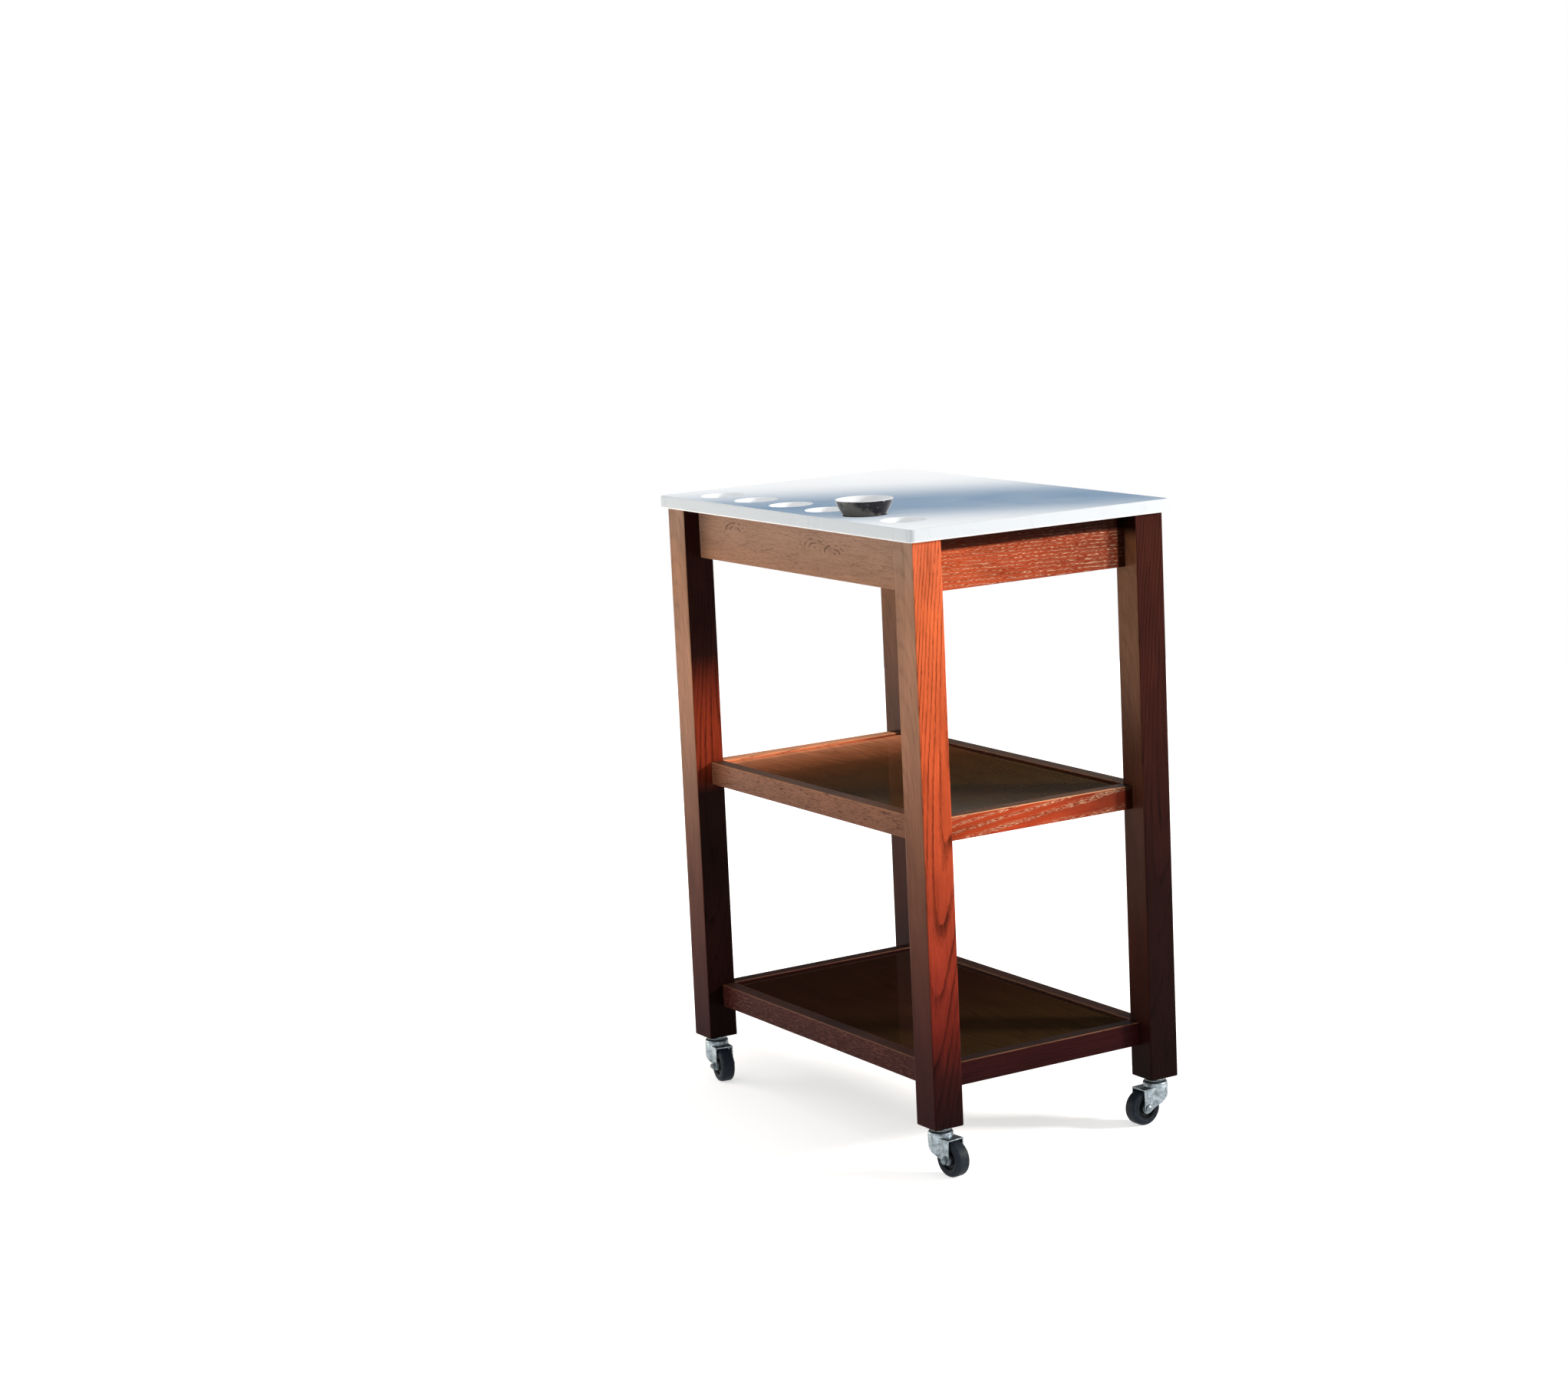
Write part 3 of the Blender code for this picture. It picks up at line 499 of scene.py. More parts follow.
    def _curl(self, tree: Tree, bent: Node, middle: Point) -> Node:
        """Draws broken dark arcs where a small knot below the face has turned the grain.

        Args:
            tree: The board's node tree.
            bent: Places along the wandering grain.
            middle: Where the knot lies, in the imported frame.

        Returns:
            How strongly the arcs show.
        """
        knot = self.turn.to_matrix() @ Vector(middle)
        away = add_node(tree, "VectorMath", {0: bent, 1: knot}, operation="SUBTRACT")
        oval = add_node(tree, "VectorMath", {0: away, 1: (1.0, 1.0, 0.45)}, operation="MULTIPLY")
        far = add_node(tree, "VectorMath", {0: oval}, operation="LENGTH").outputs["Value"]
        turns = add_node(tree, "Math", {0: far, 1: 1 / (self.knot_mm * MM)}, operation="MULTIPLY")
        ring = add_node(tree, "Math", {0: turns}, operation="FRACT")
        near = add_node(tree, "MapRange", {"Value": far, "From Min": 12 * MM, "From Max": 20 * MM,
                                           "To Min": 0.75, "To Max": 0.0})
        across = add_node(tree, "SeparateXYZ", {"Vector": away}).outputs["X"]
        above = add_node(tree, "MapRange", {"Value": across, "From Min": 3 * MM, "From Max": -1 * MM})
        patch = add_node(tree, "TexNoise", {"Vector": bent, "Scale": 1 / (self.knot_patch_mm * MM),
                                            "Detail": 2.0})
        broken = add_node(tree, "MapRange", {"Value": patch, "From Min": 0.44, "From Max": 0.52})
        shown = add_node(tree, "ValToRGB", {"Fac": ring}, stops=KNOT_LINE)
        for share in (near, above, broken):
            shown = add_node(tree, "Math", {0: shown, 1: share}, operation="MULTIPLY")
        return shown

    def _fibres(self, tree: Tree, bent: Node) -> Node:
        """Fine streaks between the pores."""
        noise = self._streaks(tree, bent, self.fibre_mm, 0.03)
        return add_node(tree, "MapRange", {"Value": noise, "From Min": 0.40, "From Max": 0.75,
                                           "To Max": self.fibre_depth})


@dataclass(frozen=True)
class Quartz:
    """Engineered quartz: white crushed stone in resin, cast, ground and, where it shows most, polished.

    It looks white and close-grained, with faint grey threads and a fine salt of darker grit. Polish gives it
    a smooth gloss; where it was only ground, as in a recess or under an edge, it is matt, and its colour is
    painted paler there, a painted light that lifts the shade. The real grit is about half a millimetre across
    and is drawn coarser, so that it shows in the picture.
    """

    name: str
    white: str = "#dbe2e8"
    vein: str = "#b4b7c0"
    grit: str = "#d0d3d8"
    roughness: float = 0.05
    gloss: float = 1.0
    ior: float = 1.54
    swirl_mm: float = 140.0
    patch_mm: float = 70.0
    grit_mm: float = 1.6

    def material(self) -> Material:
        """Makes the stone.

        Returns:
            The material.
        """
        material, tree, shader = new_material(self.name)
        place = add_node(tree, "TexCoord").outputs["Object"]
        swirl = add_node(tree, "TexNoise", {"Vector": place, "Scale": 1 / (self.swirl_mm * MM), "Detail": 4.0,
                                            "Distortion": 0.8})
        thread = add_node(tree, "ValToRGB", {"Fac": swirl}, stops=QUARTZ_THREAD)
        patch = add_node(tree, "TexNoise", {"Vector": place, "Scale": 1 / (self.patch_mm * MM),
                                            "Detail": 1.0})
        part = add_node(tree, "MapRange", {"Value": patch, "From Min": 0.45, "From Max": 0.70,
                                           "To Max": 0.20})
        vein = add_node(tree, "Math", {0: thread, 1: part}, operation="MULTIPLY")
        salt = add_node(tree, "TexNoise", {"Vector": place, "Scale": 1 / (self.grit_mm * MM), "Detail": 1.0})
        grit = add_node(tree, "MapRange", {"Value": salt, "From Min": 0.55, "From Max": 0.75, "To Max": 0.5})
        body = add_node(tree, "MixRGB", {"Fac": grit, "Color1": self.white, "Color2": self.grit})
        colour = add_node(tree, "MixRGB", {"Fac": vein, "Color1": body, "Color2": self.vein})
        smear = add_node(tree, "MapRange", {"Value": patch, "To Min": self.roughness,
                                            "To Max": 2 * self.roughness})
        fill_inputs(tree, shader, {"Base Color": colour, "Roughness": smear, "IOR": self.ior,
                                   "Coat Weight": self.gloss, "Coat Roughness": 0.05})
        return material


@dataclass(frozen=True)
class PotteryGlaze:
    """Stoneware dipped in a glossy glaze, which pools a little unevenly and leaves a rippled gloss;
    on the dark glaze the patches of the second colour are painted reflections.
    """

    name: str
    colour: str
    pooling_and_reflection: str
    roughness: float = 0.10
    specular: float = 0.5
    patch_size_mm: float = 9.0
    patch_from: float = 0.35
    patch_to: float = 0.70
    ripple_mm: float = 4.0
    relief_mm: float = 0.2

    def material(self) -> Material:
        """Makes the glaze.

        Returns:
            The material.
        """
        material, tree, shader = new_material(self.name)
        place = add_node(tree, "TexCoord").outputs["Object"]
        patches = add_node(tree, "TexNoise", {"Vector": place, "Scale": 1 / (self.patch_size_mm * MM), "Detail": 3.0})
        share = add_node(tree, "MapRange", {"Value": patches, "From Min": self.patch_from,
                                            "From Max": self.patch_to})
        colour = add_node(tree, "MixRGB", {"Fac": share, "Color1": self.colour, "Color2": self.pooling_and_reflection})
        dull = add_node(tree, "MapRange", {"Value": patches, "To Min": self.roughness * 0.7,
                                           "To Max": self.roughness * 1.6})
        ripple = add_node(tree, "TexNoise", {"Vector": place, "Scale": 1 / (self.ripple_mm * MM),
                                             "Detail": 1.0})
        bump = add_node(tree, "Bump", {"Height": ripple, "Strength": 0.06, "Distance": self.relief_mm * MM})
        fill_inputs(tree, shader, {"Base Color": colour, "Roughness": dull, "Normal": bump,
                                   "Specular IOR Level": self.specular, "Coat Weight": 0.3,
                                   "Coat Roughness": 0.04})
        return material


@dataclass(frozen=True)
class ZincPlate:
    """Pressed or turned steel, zinc plated: a cool grey metal with cloudy patches, dull where it has aged."""

    name: str = "zinc_plated_steel"
    bright: str = "#a2aeb5"
    dull: str = "#596166"
    roughness: float = 0.30
    aged_matt: float = 0.25
    cloud_mm: float = 7.0
    flake_mm: float = 3.0
    flake_share: float = 0.18
    relief_mm: float = 0.2

    def material(self) -> Material:
        """Makes the plated metal.

        Returns:
            The material.
        """
        material, tree, shader = new_material(self.name)
        place = add_node(tree, "TexCoord").outputs["Object"]
        cloud = add_node(tree, "TexNoise", {"Vector": place, "Scale": 1 / (self.cloud_mm * MM), "Detail": 4.0,
                                            "Roughness": 0.6})
        flake = add_node(tree, "TexVoronoi", {"Vector": place, "Scale": 1 / (self.flake_mm * MM)})
        mixed = add_node(tree, "Math", {0: flake.outputs["Color"], 1: self.flake_share, 2: cloud},
                         operation="MULTIPLY_ADD")
        age = add_node(tree, "MapRange", {"Value": mixed, "From Min": 0.45, "From Max": 0.80})
        colour = add_node(tree, "MixRGB", {"Fac": age, "Color1": self.bright, "Color2": self.dull})
        matt = add_node(tree, "MapRange", {"Value": age, "To Min": self.roughness,
                                           "To Max": self.roughness + self.aged_matt})
        bump = add_node(tree, "Bump", {"Height": cloud, "Strength": 0.08, "Distance": self.relief_mm * MM})
        fill_inputs(tree, shader, {"Base Color": colour, "Roughness": matt, "Normal": bump, "Metallic": 1.0})
        return material


@dataclass(frozen=True)
class MouldedPolymer:
    """Moulded rubber or nylon: dark, with a grain from the mould and a film of pale dust.

    The mould's grain is about 0.2 mm across and is drawn coarser, so that it shows in the picture.
    """

    name: str
    colour: str
    dust: str
    roughness: float
    dusty: float = 0.5
    dust_matt: float = 0.3
    specular: float = 0.15
    film_mm: float = 6.0
    grain_mm: float = 0.8
    relief_mm: float = 0.1

    def material(self) -> Material:
        """Makes the moulding's material.

        Returns:
            The material.
        """
        material, tree, shader = new_material(self.name)
        place = add_node(tree, "TexCoord").outputs["Object"]
        film = add_node(tree, "TexNoise", {"Vector": place, "Scale": 1 / (self.film_mm * MM), "Detail": 5.0,
                                           "Roughness": 0.65})
        share = add_node(tree, "MapRange", {"Value": film, "From Min": 0.40, "From Max": 0.75,
                                            "To Max": self.dusty})
        colour = add_node(tree, "MixRGB", {"Fac": share, "Color1": self.colour, "Color2": self.dust})
        matt = add_node(tree, "MapRange", {"Value": share, "To Min": self.roughness,
                                           "To Max": self.roughness + self.dust_matt})
        grain = add_node(tree, "TexNoise", {"Vector": place, "Scale": 1 / (self.grain_mm * MM),
                                            "Detail": 2.0})
        bump = add_node(tree, "Bump", {"Height": grain, "Strength": 0.15, "Distance": self.relief_mm * MM})
        fill_inputs(tree, shader, {"Base Color": colour, "Roughness": matt, "Normal": bump,
                                   "Specular IOR Level": self.specular})
        return material


def mesh_object(name: str, mesh: Mesh) -> Thing:
    """Adds a mesh to the scene as an object at the origin.

    Args:
        name: The object's name.
        mesh: Its mesh.

    Returns:
        The object.
    """
    thing = bpy.data.objects.new(name, mesh)
    bpy.context.scene.collection.objects.link(thing)
    return thing


def settled_mesh(thing: Thing, *helpers: Thing) -> Mesh:
    """Takes an object's mesh as its modifiers leave it, and removes the object.

    Args:
        thing: The object with its modifiers.
        *helpers: Other objects that the modifiers used, which go too.

    Returns:
        The finished mesh.
    """
    graph = bpy.context.evaluated_depsgraph_get()
    mesh = bpy.data.meshes.new_from_object(thing.evaluated_get(graph))
    for used in (thing, *helpers):
        bpy.data.objects.remove(used)
    return mesh


def mesh_from(name: str, bm: bmesh.types.BMesh) -> Mesh:
    """Turns what has been drawn into a mesh.

    Args:
        name: The mesh's name.
        bm: The drawing, which is freed.

    Returns:
        The mesh.
    """
    mesh = bpy.data.meshes.new(name)
    bm.to_mesh(mesh)
    bm.free()
    return mesh


def smooth(mesh: Mesh, angle: float = 38.0) -> Mesh:
    """Shades a mesh smooth, apart from its sharp edges.

    Args:
        mesh: The mesh.
        angle: Edges sharper than this stay sharp, in degrees.

    Returns:
        The same mesh.
    """
    mesh.shade_smooth()
    mesh.set_sharp_from_angle(angle=math.radians(angle))
    return mesh


def arc(centre: tuple[float, float], radius: float, start: float, end: float, steps: int) -> Profile:
    """Points along an arc, with angles in degrees."""
    turns = [math.radians(start + (end - start) * i / steps) for i in range(steps + 1)]
    return [(centre[0] + radius * math.cos(turn), centre[1] + radius * math.sin(turn)) for turn in turns]


def turned(name: str, profile: Profile, segments: int, ring: bool = False, angle: float = 38.0) -> Mesh:
    """Turns a profile of (radius, height) points about Z.

    Args:
        name: The mesh's name.
        profile: Points down the outer side. A ring's profile closes on itself, any other ends on the axis.
        segments: Facets round the axis.
        ring: Whether the profile closes on itself.
        angle: Edges sharper than this stay sharp, in degrees.

    Returns:
        A closed mesh.
    """
    bm = bmesh.new()
    points = [bm.verts.new((radius, 0.0, height)) for radius, height in profile]
    edges = [bm.edges.new(pair) for pair in zip(points, points[1:])]
    if ring:
        edges.append(bm.edges.new((points[-1], points[0])))
    bmesh.ops.spin(bm, geom=points + edges, cent=(0, 0, 0), axis=(0, 0, 1), angle=2 * math.pi, steps=segments,
                   use_merge=True)
    bmesh.ops.remove_doubles(bm, verts=bm.verts, dist=1e-6)
    bmesh.ops.recalc_face_normals(bm, faces=bm.faces)
    return smooth(mesh_from(name, bm), angle)


def prism(name: str, outline: Profile, low: float, high: float) -> Mesh:
    """Extrudes a flat outline of (x, y) points.

    Args:
        name: The mesh's name.
        outline: Points round the outline.
        low: The lower end's height.
        high: The upper end's height.

    Returns:
        A closed mesh.
    """
    bm = bmesh.new()
    base = bm.faces.new([bm.verts.new((x, y, low)) for x, y in outline])
    pulled = bmesh.ops.extrude_face_region(bm, geom=[base])
    top = [v for v in pulled["geom"] if isinstance(v, bmesh.types.BMVert)]
    bmesh.ops.translate(bm, verts=top, vec=(0, 0, high - low))
    bmesh.ops.recalc_face_normals(bm, faces=bm.faces)
    return mesh_from(name, bm)


def boolean(thing: Thing, tool: Thing, operation: str = "DIFFERENCE") -> None:
    """Cuts or joins an object with another one.

    Args:
        thing: The object.
        tool: The other one, which isn't rendered.
        operation: The modifier's name for what is done.
    """
    modifier = thing.modifiers.new(tool.name, "BOOLEAN")
    modifier.operation = operation
    modifier.solver = "EXACT"
    modifier.object = tool
    tool.hide_render = True


def soften(thing: Thing, width: float, segments: int = 2, angle: float = 40.0) -> None:
    """Rounds the sharp edges of an object.

    Args:
        thing: The object.
        width: How wide the rounding is.
        segments: Its facets.
        angle: Edges sharper than this are rounded, in degrees.
    """
    modifier = thing.modifiers.new("softened edges", "BEVEL")
    modifier.width = width
    modifier.segments = segments
    modifier.limit_method = "ANGLE"
    modifier.angle_limit = math.radians(angle)


def repaint(node: str, material: Material) -> None:
    """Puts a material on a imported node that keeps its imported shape.

    Args:
        node: The node's name.
        material: The finish.
    """
    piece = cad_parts[node]
    piece.data.materials.clear()
    piece.data.materials.append(material)
    log.info("%s dressed", node)


def place_piece(thing: Thing, body: str, slot: str, material: Material, *stands_for: str) -> None:
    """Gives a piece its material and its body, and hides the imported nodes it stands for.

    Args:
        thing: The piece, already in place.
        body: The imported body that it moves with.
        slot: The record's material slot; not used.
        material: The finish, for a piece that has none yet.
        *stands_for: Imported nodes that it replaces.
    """
    if not thing.data.materials:
        thing.data.materials.append(material)
    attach(thing, body)
    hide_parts(*stands_for)
    log.info("%s rides on %s", thing.name, body)


@dataclass(frozen=True)
class EndBoard:
    """How the rail at one level of an end was cut from its log."""

    heart_depth: float
    heart_below: float
    wander_mm: float = 2.4
    drift: float = 0.01
    ring_mm: float = 3.2
    pore_spread: float = 0.11


END_BOARDS = {
    "apron": EndBoard(heart_depth=0.10, heart_below=-0.09),
    "mid_rail": EndBoard(heart_depth=0.04, heart_below=-0.03, wander_mm=11.0, drift=-0.14, ring_mm=8.0,
                         pore_spread=0.02),
    "low_rail": EndBoard(heart_depth=0.06, heart_below=-0.06),
}

# Painted highlights on the rails' upper edges and tops, and painted dark reflections on their level tops
RAIL_PAINTED_EDGES = {
    "mid_rail_front": PaintedEdgesAndTops(0.35, upper="#5a3c28"),
    "mid_rail_back": PaintedEdgesAndTops(0.30, upper="#46301f"),
    "mid_rail_left": PaintedEdgesAndTops(0.75, 0.75),
    "mid_rail_right": PaintedEdgesAndTops(0.80, upper="#5c3a20"),
    "low_rail_front": PaintedEdgesAndTops(0.12, upper="#35201a"),
    "low_rail_back": PaintedEdgesAndTops(0.18, upper="#33211a"),
    "low_rail_left": PaintedEdgesAndTops(0.15, upper="#2f1d1a"),
    "low_rail_right": PaintedEdgesAndTops(0.20, upper="#2e1c16"),
}


@dataclass
class TimberFrame:
    """Legs, aprons, shelf rails, panels and hidden corner blocks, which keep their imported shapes."""

    corners: tuple[str, ...] = ("front_left", "front_right", "back_left", "back_right")
    long_sides: tuple[str, ...] = ("front", "back")
    short_sides: tuple[str, ...] = ("left", "right")
    levels: tuple[str, ...] = ("apron", "mid_rail", "low_rail")
    slab_shade: float = 0.861
    leg_shade: float = 0.149
    curls: tuple[Point, ...] = ((-0.177, -0.1845, 0.855), (0.043, -0.1845, 0.849), (0.095, -0.1845, 0.844))

    def dress(self) -> None:
        """Gives every timber node its own board."""
        self._dress_legs()
        self._dress_long_rails()
        self._dress_short_rails()
        self._dress_panels()
        self._dress_blocks()

    def _dress_legs(self) -> None:
        """Legs: flat-sawn along the trolley, quarter-sawn across it, each face with its painted light and
        shade.
        """
        face = (1, 0, 0)
        # Painted shade on the back right leg and the back legs' -Y faces; a painted sun patch on the front
        # left leg
        flats = {"front_left": Stain.SHADED, "back_right": Stain.MAROON_IN_SHADE}
        quarters = {"back_left": Stain.BROWN_IN_SHADE, "back_right": Stain.BROWN_IN_SHADE}
        for corner in self.corners:
            node = "leg_" + corner
            heart = self._heart(node, face, 0.058, (0.0, 0.0, -0.12))
            flat, quarter = flats.get(corner, Stain.ORANGE), quarters.get(corner, Stain.BROWN)
            board = StainedAsh(
                Grain.ALONG_Z, heart, face, flat, quarter, rise=-0.05, drift=0.14, wander_mm=5.0, ring_mm=4.8,
                ring_depth=0.46, fibre_depth=0.26, mottle=0.18)
            repaint(node, board.material(node))

    def _dress_long_rails(self) -> None:
        """Front and back boards: quiet and brown, with few marks."""
        face = (0, -1, 0)
        marks = {"apron": 0.40, "mid_rail": 0.80, "low_rail": 0.65}
        for level in self.levels:
            for side in self.long_sides:
                node = f"{level}_{side}"
                # The back boards take painted shade
                behind = Stain.BROWN_IN_SHADE if level == "apron" else Stain.LIP
                stain = Stain.BROWN if side == "front" else behind
                board = StainedAsh(
                    Grain.ALONG_X, self._heart(node, face, 0.05), face, stain, stain,
                    Pores.DUSTY if level == "low_rail" else Pores.STAINED,
                    edge_paint=RAIL_PAINTED_EDGES.get(node, PaintedEdgesAndTops()), curls=self.curls if node == "apron_front" else (),
                    rise=0.05, ring_depth=0.05, pore_mm=0.75, pore_share=marks[level], pore_spread=0.6)
                repaint(node, board.material(node))

    def _dress_short_rails(self) -> None:
        """End boards: red, painted darker towards the back where shade falls, and with painted glints in the
        pores of the upper two at the right end.
        """
        face = (1, 0, 0)
        ends = {"apron": Stain.APRON_END, "mid_rail": Stain.SHELF_END}
        for level in self.levels:
            cut = END_BOARDS[level]
            # Painted shadows of the back legs and of the slab's edge on the upper end boards
            shade = ((Axis.Y, self.leg_shade), (Axis.Z, self.slab_shade)) if level in ends else ()
            for side in self.short_sides:
                node = f"{level}_{side}"
                stain = Stain.LIT_END if node == "mid_rail_left" else ends.get(level, Stain.FOOT_END)
                # Painted glints: pale pores on the upper end boards at the right
                glinting = side == "right" and level in ends
                heart = self._heart(node, face, cut.heart_depth, (0.0, 0.0, cut.heart_below))
                board = StainedAsh(
                    Grain.ALONG_Y, heart, face, stain, stain, Pores.PALE_GLINT if glinting else Pores.STAINED,
                    Axis.Y if level in ends else Axis.Z, shade, RAIL_PAINTED_EDGES.get(node, PaintedEdgesAndTops()),
                    rise=0.02, drift=cut.drift, wander_mm=cut.wander_mm, ring_mm=cut.ring_mm, ring_depth=0.30,
                    pore_mm=0.48, pore_share=0.85, pore_spread=cut.pore_spread, fibre_depth=0.3, mottle=0.14)
                repaint(node, board.material(node))

    def _dress_panels(self) -> None:
        """Shelf panels: quiet veneer under a high gloss, with a painted sheen, palest at the left end of the
        middle shelf.
        """
        face = (0, 0, 1)
        for shelf, stain in (("mid", Stain.VENEER_WARM_SHEEN), ("low", Stain.VENEER_DARK)):
            node = f"{shelf}_shelf_panel"
            board = StainedAsh(
                Grain.ALONG_X, self._heart(node, face, 0.12), face, stain, stain, axis=Axis.X, rise=0.05,
                ring_mm=6.0, ring_depth=0.20, pore_share=0.25, pore_matt=0.04, fibre_depth=0.35, relief=0.03,
                roughness=0.08, specular=0.12)
            repaint(node, board.material(node))

    def _dress_blocks(self) -> None:
        """Corner blocks: bare wood, out of sight."""
        face = (1, 0, 0)
        for corner in self.corners:
            node = "corner_block_" + corner
            heart = self._heart(node, face, 0.06)
            board = StainedAsh(Grain.ALONG_Z, heart, face, Stain.BARE, Stain.BARE, roughness=0.65)
            repaint(node, board.material(node))

    def _heart(self, node: str, face: tuple[int, int, int], depth: float,
               aside: Point = (0.0, 0.0, 0.0)) -> Point:
        """Where the heart of the log passes behind a board.

        Args:
            node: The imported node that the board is.
            face: Which way its best face looks.
            depth: How far behind that face the heart lies.
            aside: How far it lies from behind the board's middle.

        Returns:
            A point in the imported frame.
        """
        low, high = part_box(node)
        half = [(b - a) / 2 for a, b in zip(low, high)]
        middle = [(a + b) / 2 for a, b in zip(low, high)]
        return tuple(m + f * (h - depth) + a for m, f, h, a in zip(middle, face, half, aside))


@dataclass
class StoneTop:
    """Quartz slab with rounded corners, eased edges and a row of round recesses."""

    half_x: float = 0.3393
    half_y: float = 0.2188
    top: float = 0.900
    thickness: float = 0.0186
    corner_radius: float = 0.010
    corner_steps: int = 8
    edge_ease: float = 0.0022
    recess_radius: float = 0.031
    recess_depth: float = 0.0105
    recess_lip: float = 0.0012
    recess_fillet: float = 0.002
    recess_facets: int = 72
    row_y: float = -0.1588
    first_x: float = -0.253
    pitch: float = 0.0976
    count: int = 6

    @property
    def recess_reach(self) -> float:
        """Radius of a recess over its eased lip."""
        return self.recess_radius + self.recess_lip

    def recess_x(self, index: int) -> float:
        """X of a recess, counted from the left."""
        return self.first_x + index * self.pitch

    def build(self) -> None:
        """Builds the slab, cuts its recesses and dresses it."""
        inner_x, inner_y = self.half_x - self.corner_radius, self.half_y - self.corner_radius
        outline: Profile = []
        for sign_x, sign_y, start in ((1, 1, 0), (-1, 1, 90), (-1, -1, 180), (1, -1, 270)):
            centre = (sign_x * inner_x, sign_y * inner_y)
            outline += arc(centre, self.corner_radius, start, start + 90, self.corner_steps)
        slab = mesh_object("slab", prism("slab", outline, self.top - self.thickness, self.top))
        soften(slab, self.edge_ease, segments=3)
        cutters = [self._recess(index) for index in range(self.count)]
        for cutter in cutters:
            boolean(slab, cutter)
        mesh = smooth(settled_mesh(slab, *cutters), angle=30)
        polished = Quartz("polished_white_quartz")
        # The ground finish is matt, and its paler colour is painted light that lifts the shade in the
        # recesses and underneath
        ground = Quartz("ground_white_quartz_lightened", "#fbfdff", "#eef1f5", "#f0f3f7", roughness=0.35, gloss=0.0)
        for finish in (polished, ground):
            mesh.materials.append(finish.material())
        for polygon in mesh.polygons:
            polygon.material_index = int(self._only_ground(polygon))
        stone = mesh_object("quartz_slab", mesh)
        level = stone.modifiers.new("level faces", "WEIGHTED_NORMAL")
        level.weight = 100
        level.keep_sharp = True
        place_piece(stone, "frame", "white_quartz", mesh.materials[0], "stone_top")

    def _only_ground(self, polygon: bpy.types.MeshPolygon) -> bool:
        """Whether a face was ground but not polished: in a recess, or looking down.

        Args:
            polygon: A face of the slab.

        Returns:
            True for a ground face.
        """
        middle = polygon.center
        sunk = middle.z < self.top - 0.1 * self.recess_lip and any(
            math.hypot(middle.x - self.recess_x(index), middle.y - self.row_y) < self.recess_reach
            for index in range(self.count))
        return sunk or polygon.normal.z < -0.2

    def _recess(self, index: int) -> Thing:
        """Turns the cutter of one recess, with an eased lip and a small fillet at the floor.

        Args:
            index: Which recess, counted from the left.

        Returns:
            The cutter, in place.
        """
        floor = self.top - self.recess_depth
        over = self.top + self.edge_ease
        lip = arc((self.recess_reach, self.top - self.recess_lip), self.recess_lip, 90, 180, 3)
        bend = (self.recess_radius - self.recess_fillet, floor + self.recess_fillet)
        fillet = arc(bend, self.recess_fillet, 0, -90, 4)
        profile = [(0.0, over), (self.recess_reach, over)] + lip + fillet + [(0.0, floor)]
        cutter = mesh_object(f"recess_{index}", turned("recess", profile, self.recess_facets))
        cutter.location = (self.recess_x(index), self.row_y, 0.0)
        return cutter


@dataclass
class SauceBowl:
    """Small bowl, dark outside and white inside, that stands in a recess."""

    stand_in: StoneTop
    recess: int = 4
    foot_radius: float = 0.024
    foot_round: float = 0.002
    lip_radius: float = 0.0302
    rim_radius: float = 0.041
    stand: float = 0.022
    bulge: float = 0.35
    wall: float = 0.0026
    floor: float = 0.004
    floor_round: float = 0.004
    floor_rise: float = 0.0012
    seat_gap: float = 0.0003
    steps: int = 14
    facets: int = 80

    def build(self) -> None:
        """Turns the bowl and glazes its two sides."""
        depth = self.stand_in.recess_depth
        height = depth + self.stand
        shares = [i / self.steps for i in range(self.steps)]
        curve = [(1 + self.bulge) * s - self.bulge * s * s for s in shares]
        sides = [(self.lip_radius + (self.rim_radius - self.lip_radius) * c, depth + self.stand * s)
                 for s, c in zip(shares, curve)]
        inner = [(radius - self.wall, z) for radius, z in sides]
        rim = arc((self.rim_radius - self.wall / 2, height - self.wall / 2), self.wall / 2, 180, 0, 6)
        inner_foot = self.foot_radius - self.wall
        bowl_floor = [(0.0, self.floor), (inner_foot - self.floor_round, self.floor),
                      (inner_foot, self.floor + self.floor_rise)]
        foot = [(self.foot_radius + self.foot_round, self.foot_round), (self.foot_radius, 0.0), (0.0, 0.0)]
        mesh = turned("sauce_bowl", bowl_floor + inner + rim + sides[::-1] + foot, self.facets, angle=60)
        # The grey patches on the dark glaze are painted reflections
        dark = PotteryGlaze("dark_stoneware_glaze", "#0e0716", "#5f5c58", roughness=0.05, specular=0.3,
                            patch_size_mm=26.0, patch_from=0.47, patch_to=0.56)
        white = PotteryGlaze("white_stoneware_glaze", "#f4f6f8", "#eef0f3")
        for finish in (dark, white):
            mesh.materials.append(finish.material())
        for polygon in mesh.polygons:
            outward = polygon.center.x * polygon.normal.x + polygon.center.y * polygon.normal.y
            upward = polygon.normal.z > 0.5
            polygon.material_index = 1 if outward < 0 or upward else 0
        bowl = mesh_object("sauce_bowl", mesh)
        bowl.location = (self.stand_in.recess_x(self.recess), self.stand_in.row_y,
                         self.stand_in.top - depth + self.seat_gap)
        # The bowl casts its shadow on the polished slab, but isn't mirrored in it
        bowl.visible_glossy = False
        place_piece(bowl, "bowl", "two_tone_glaze", mesh.materials[0], "bowl")


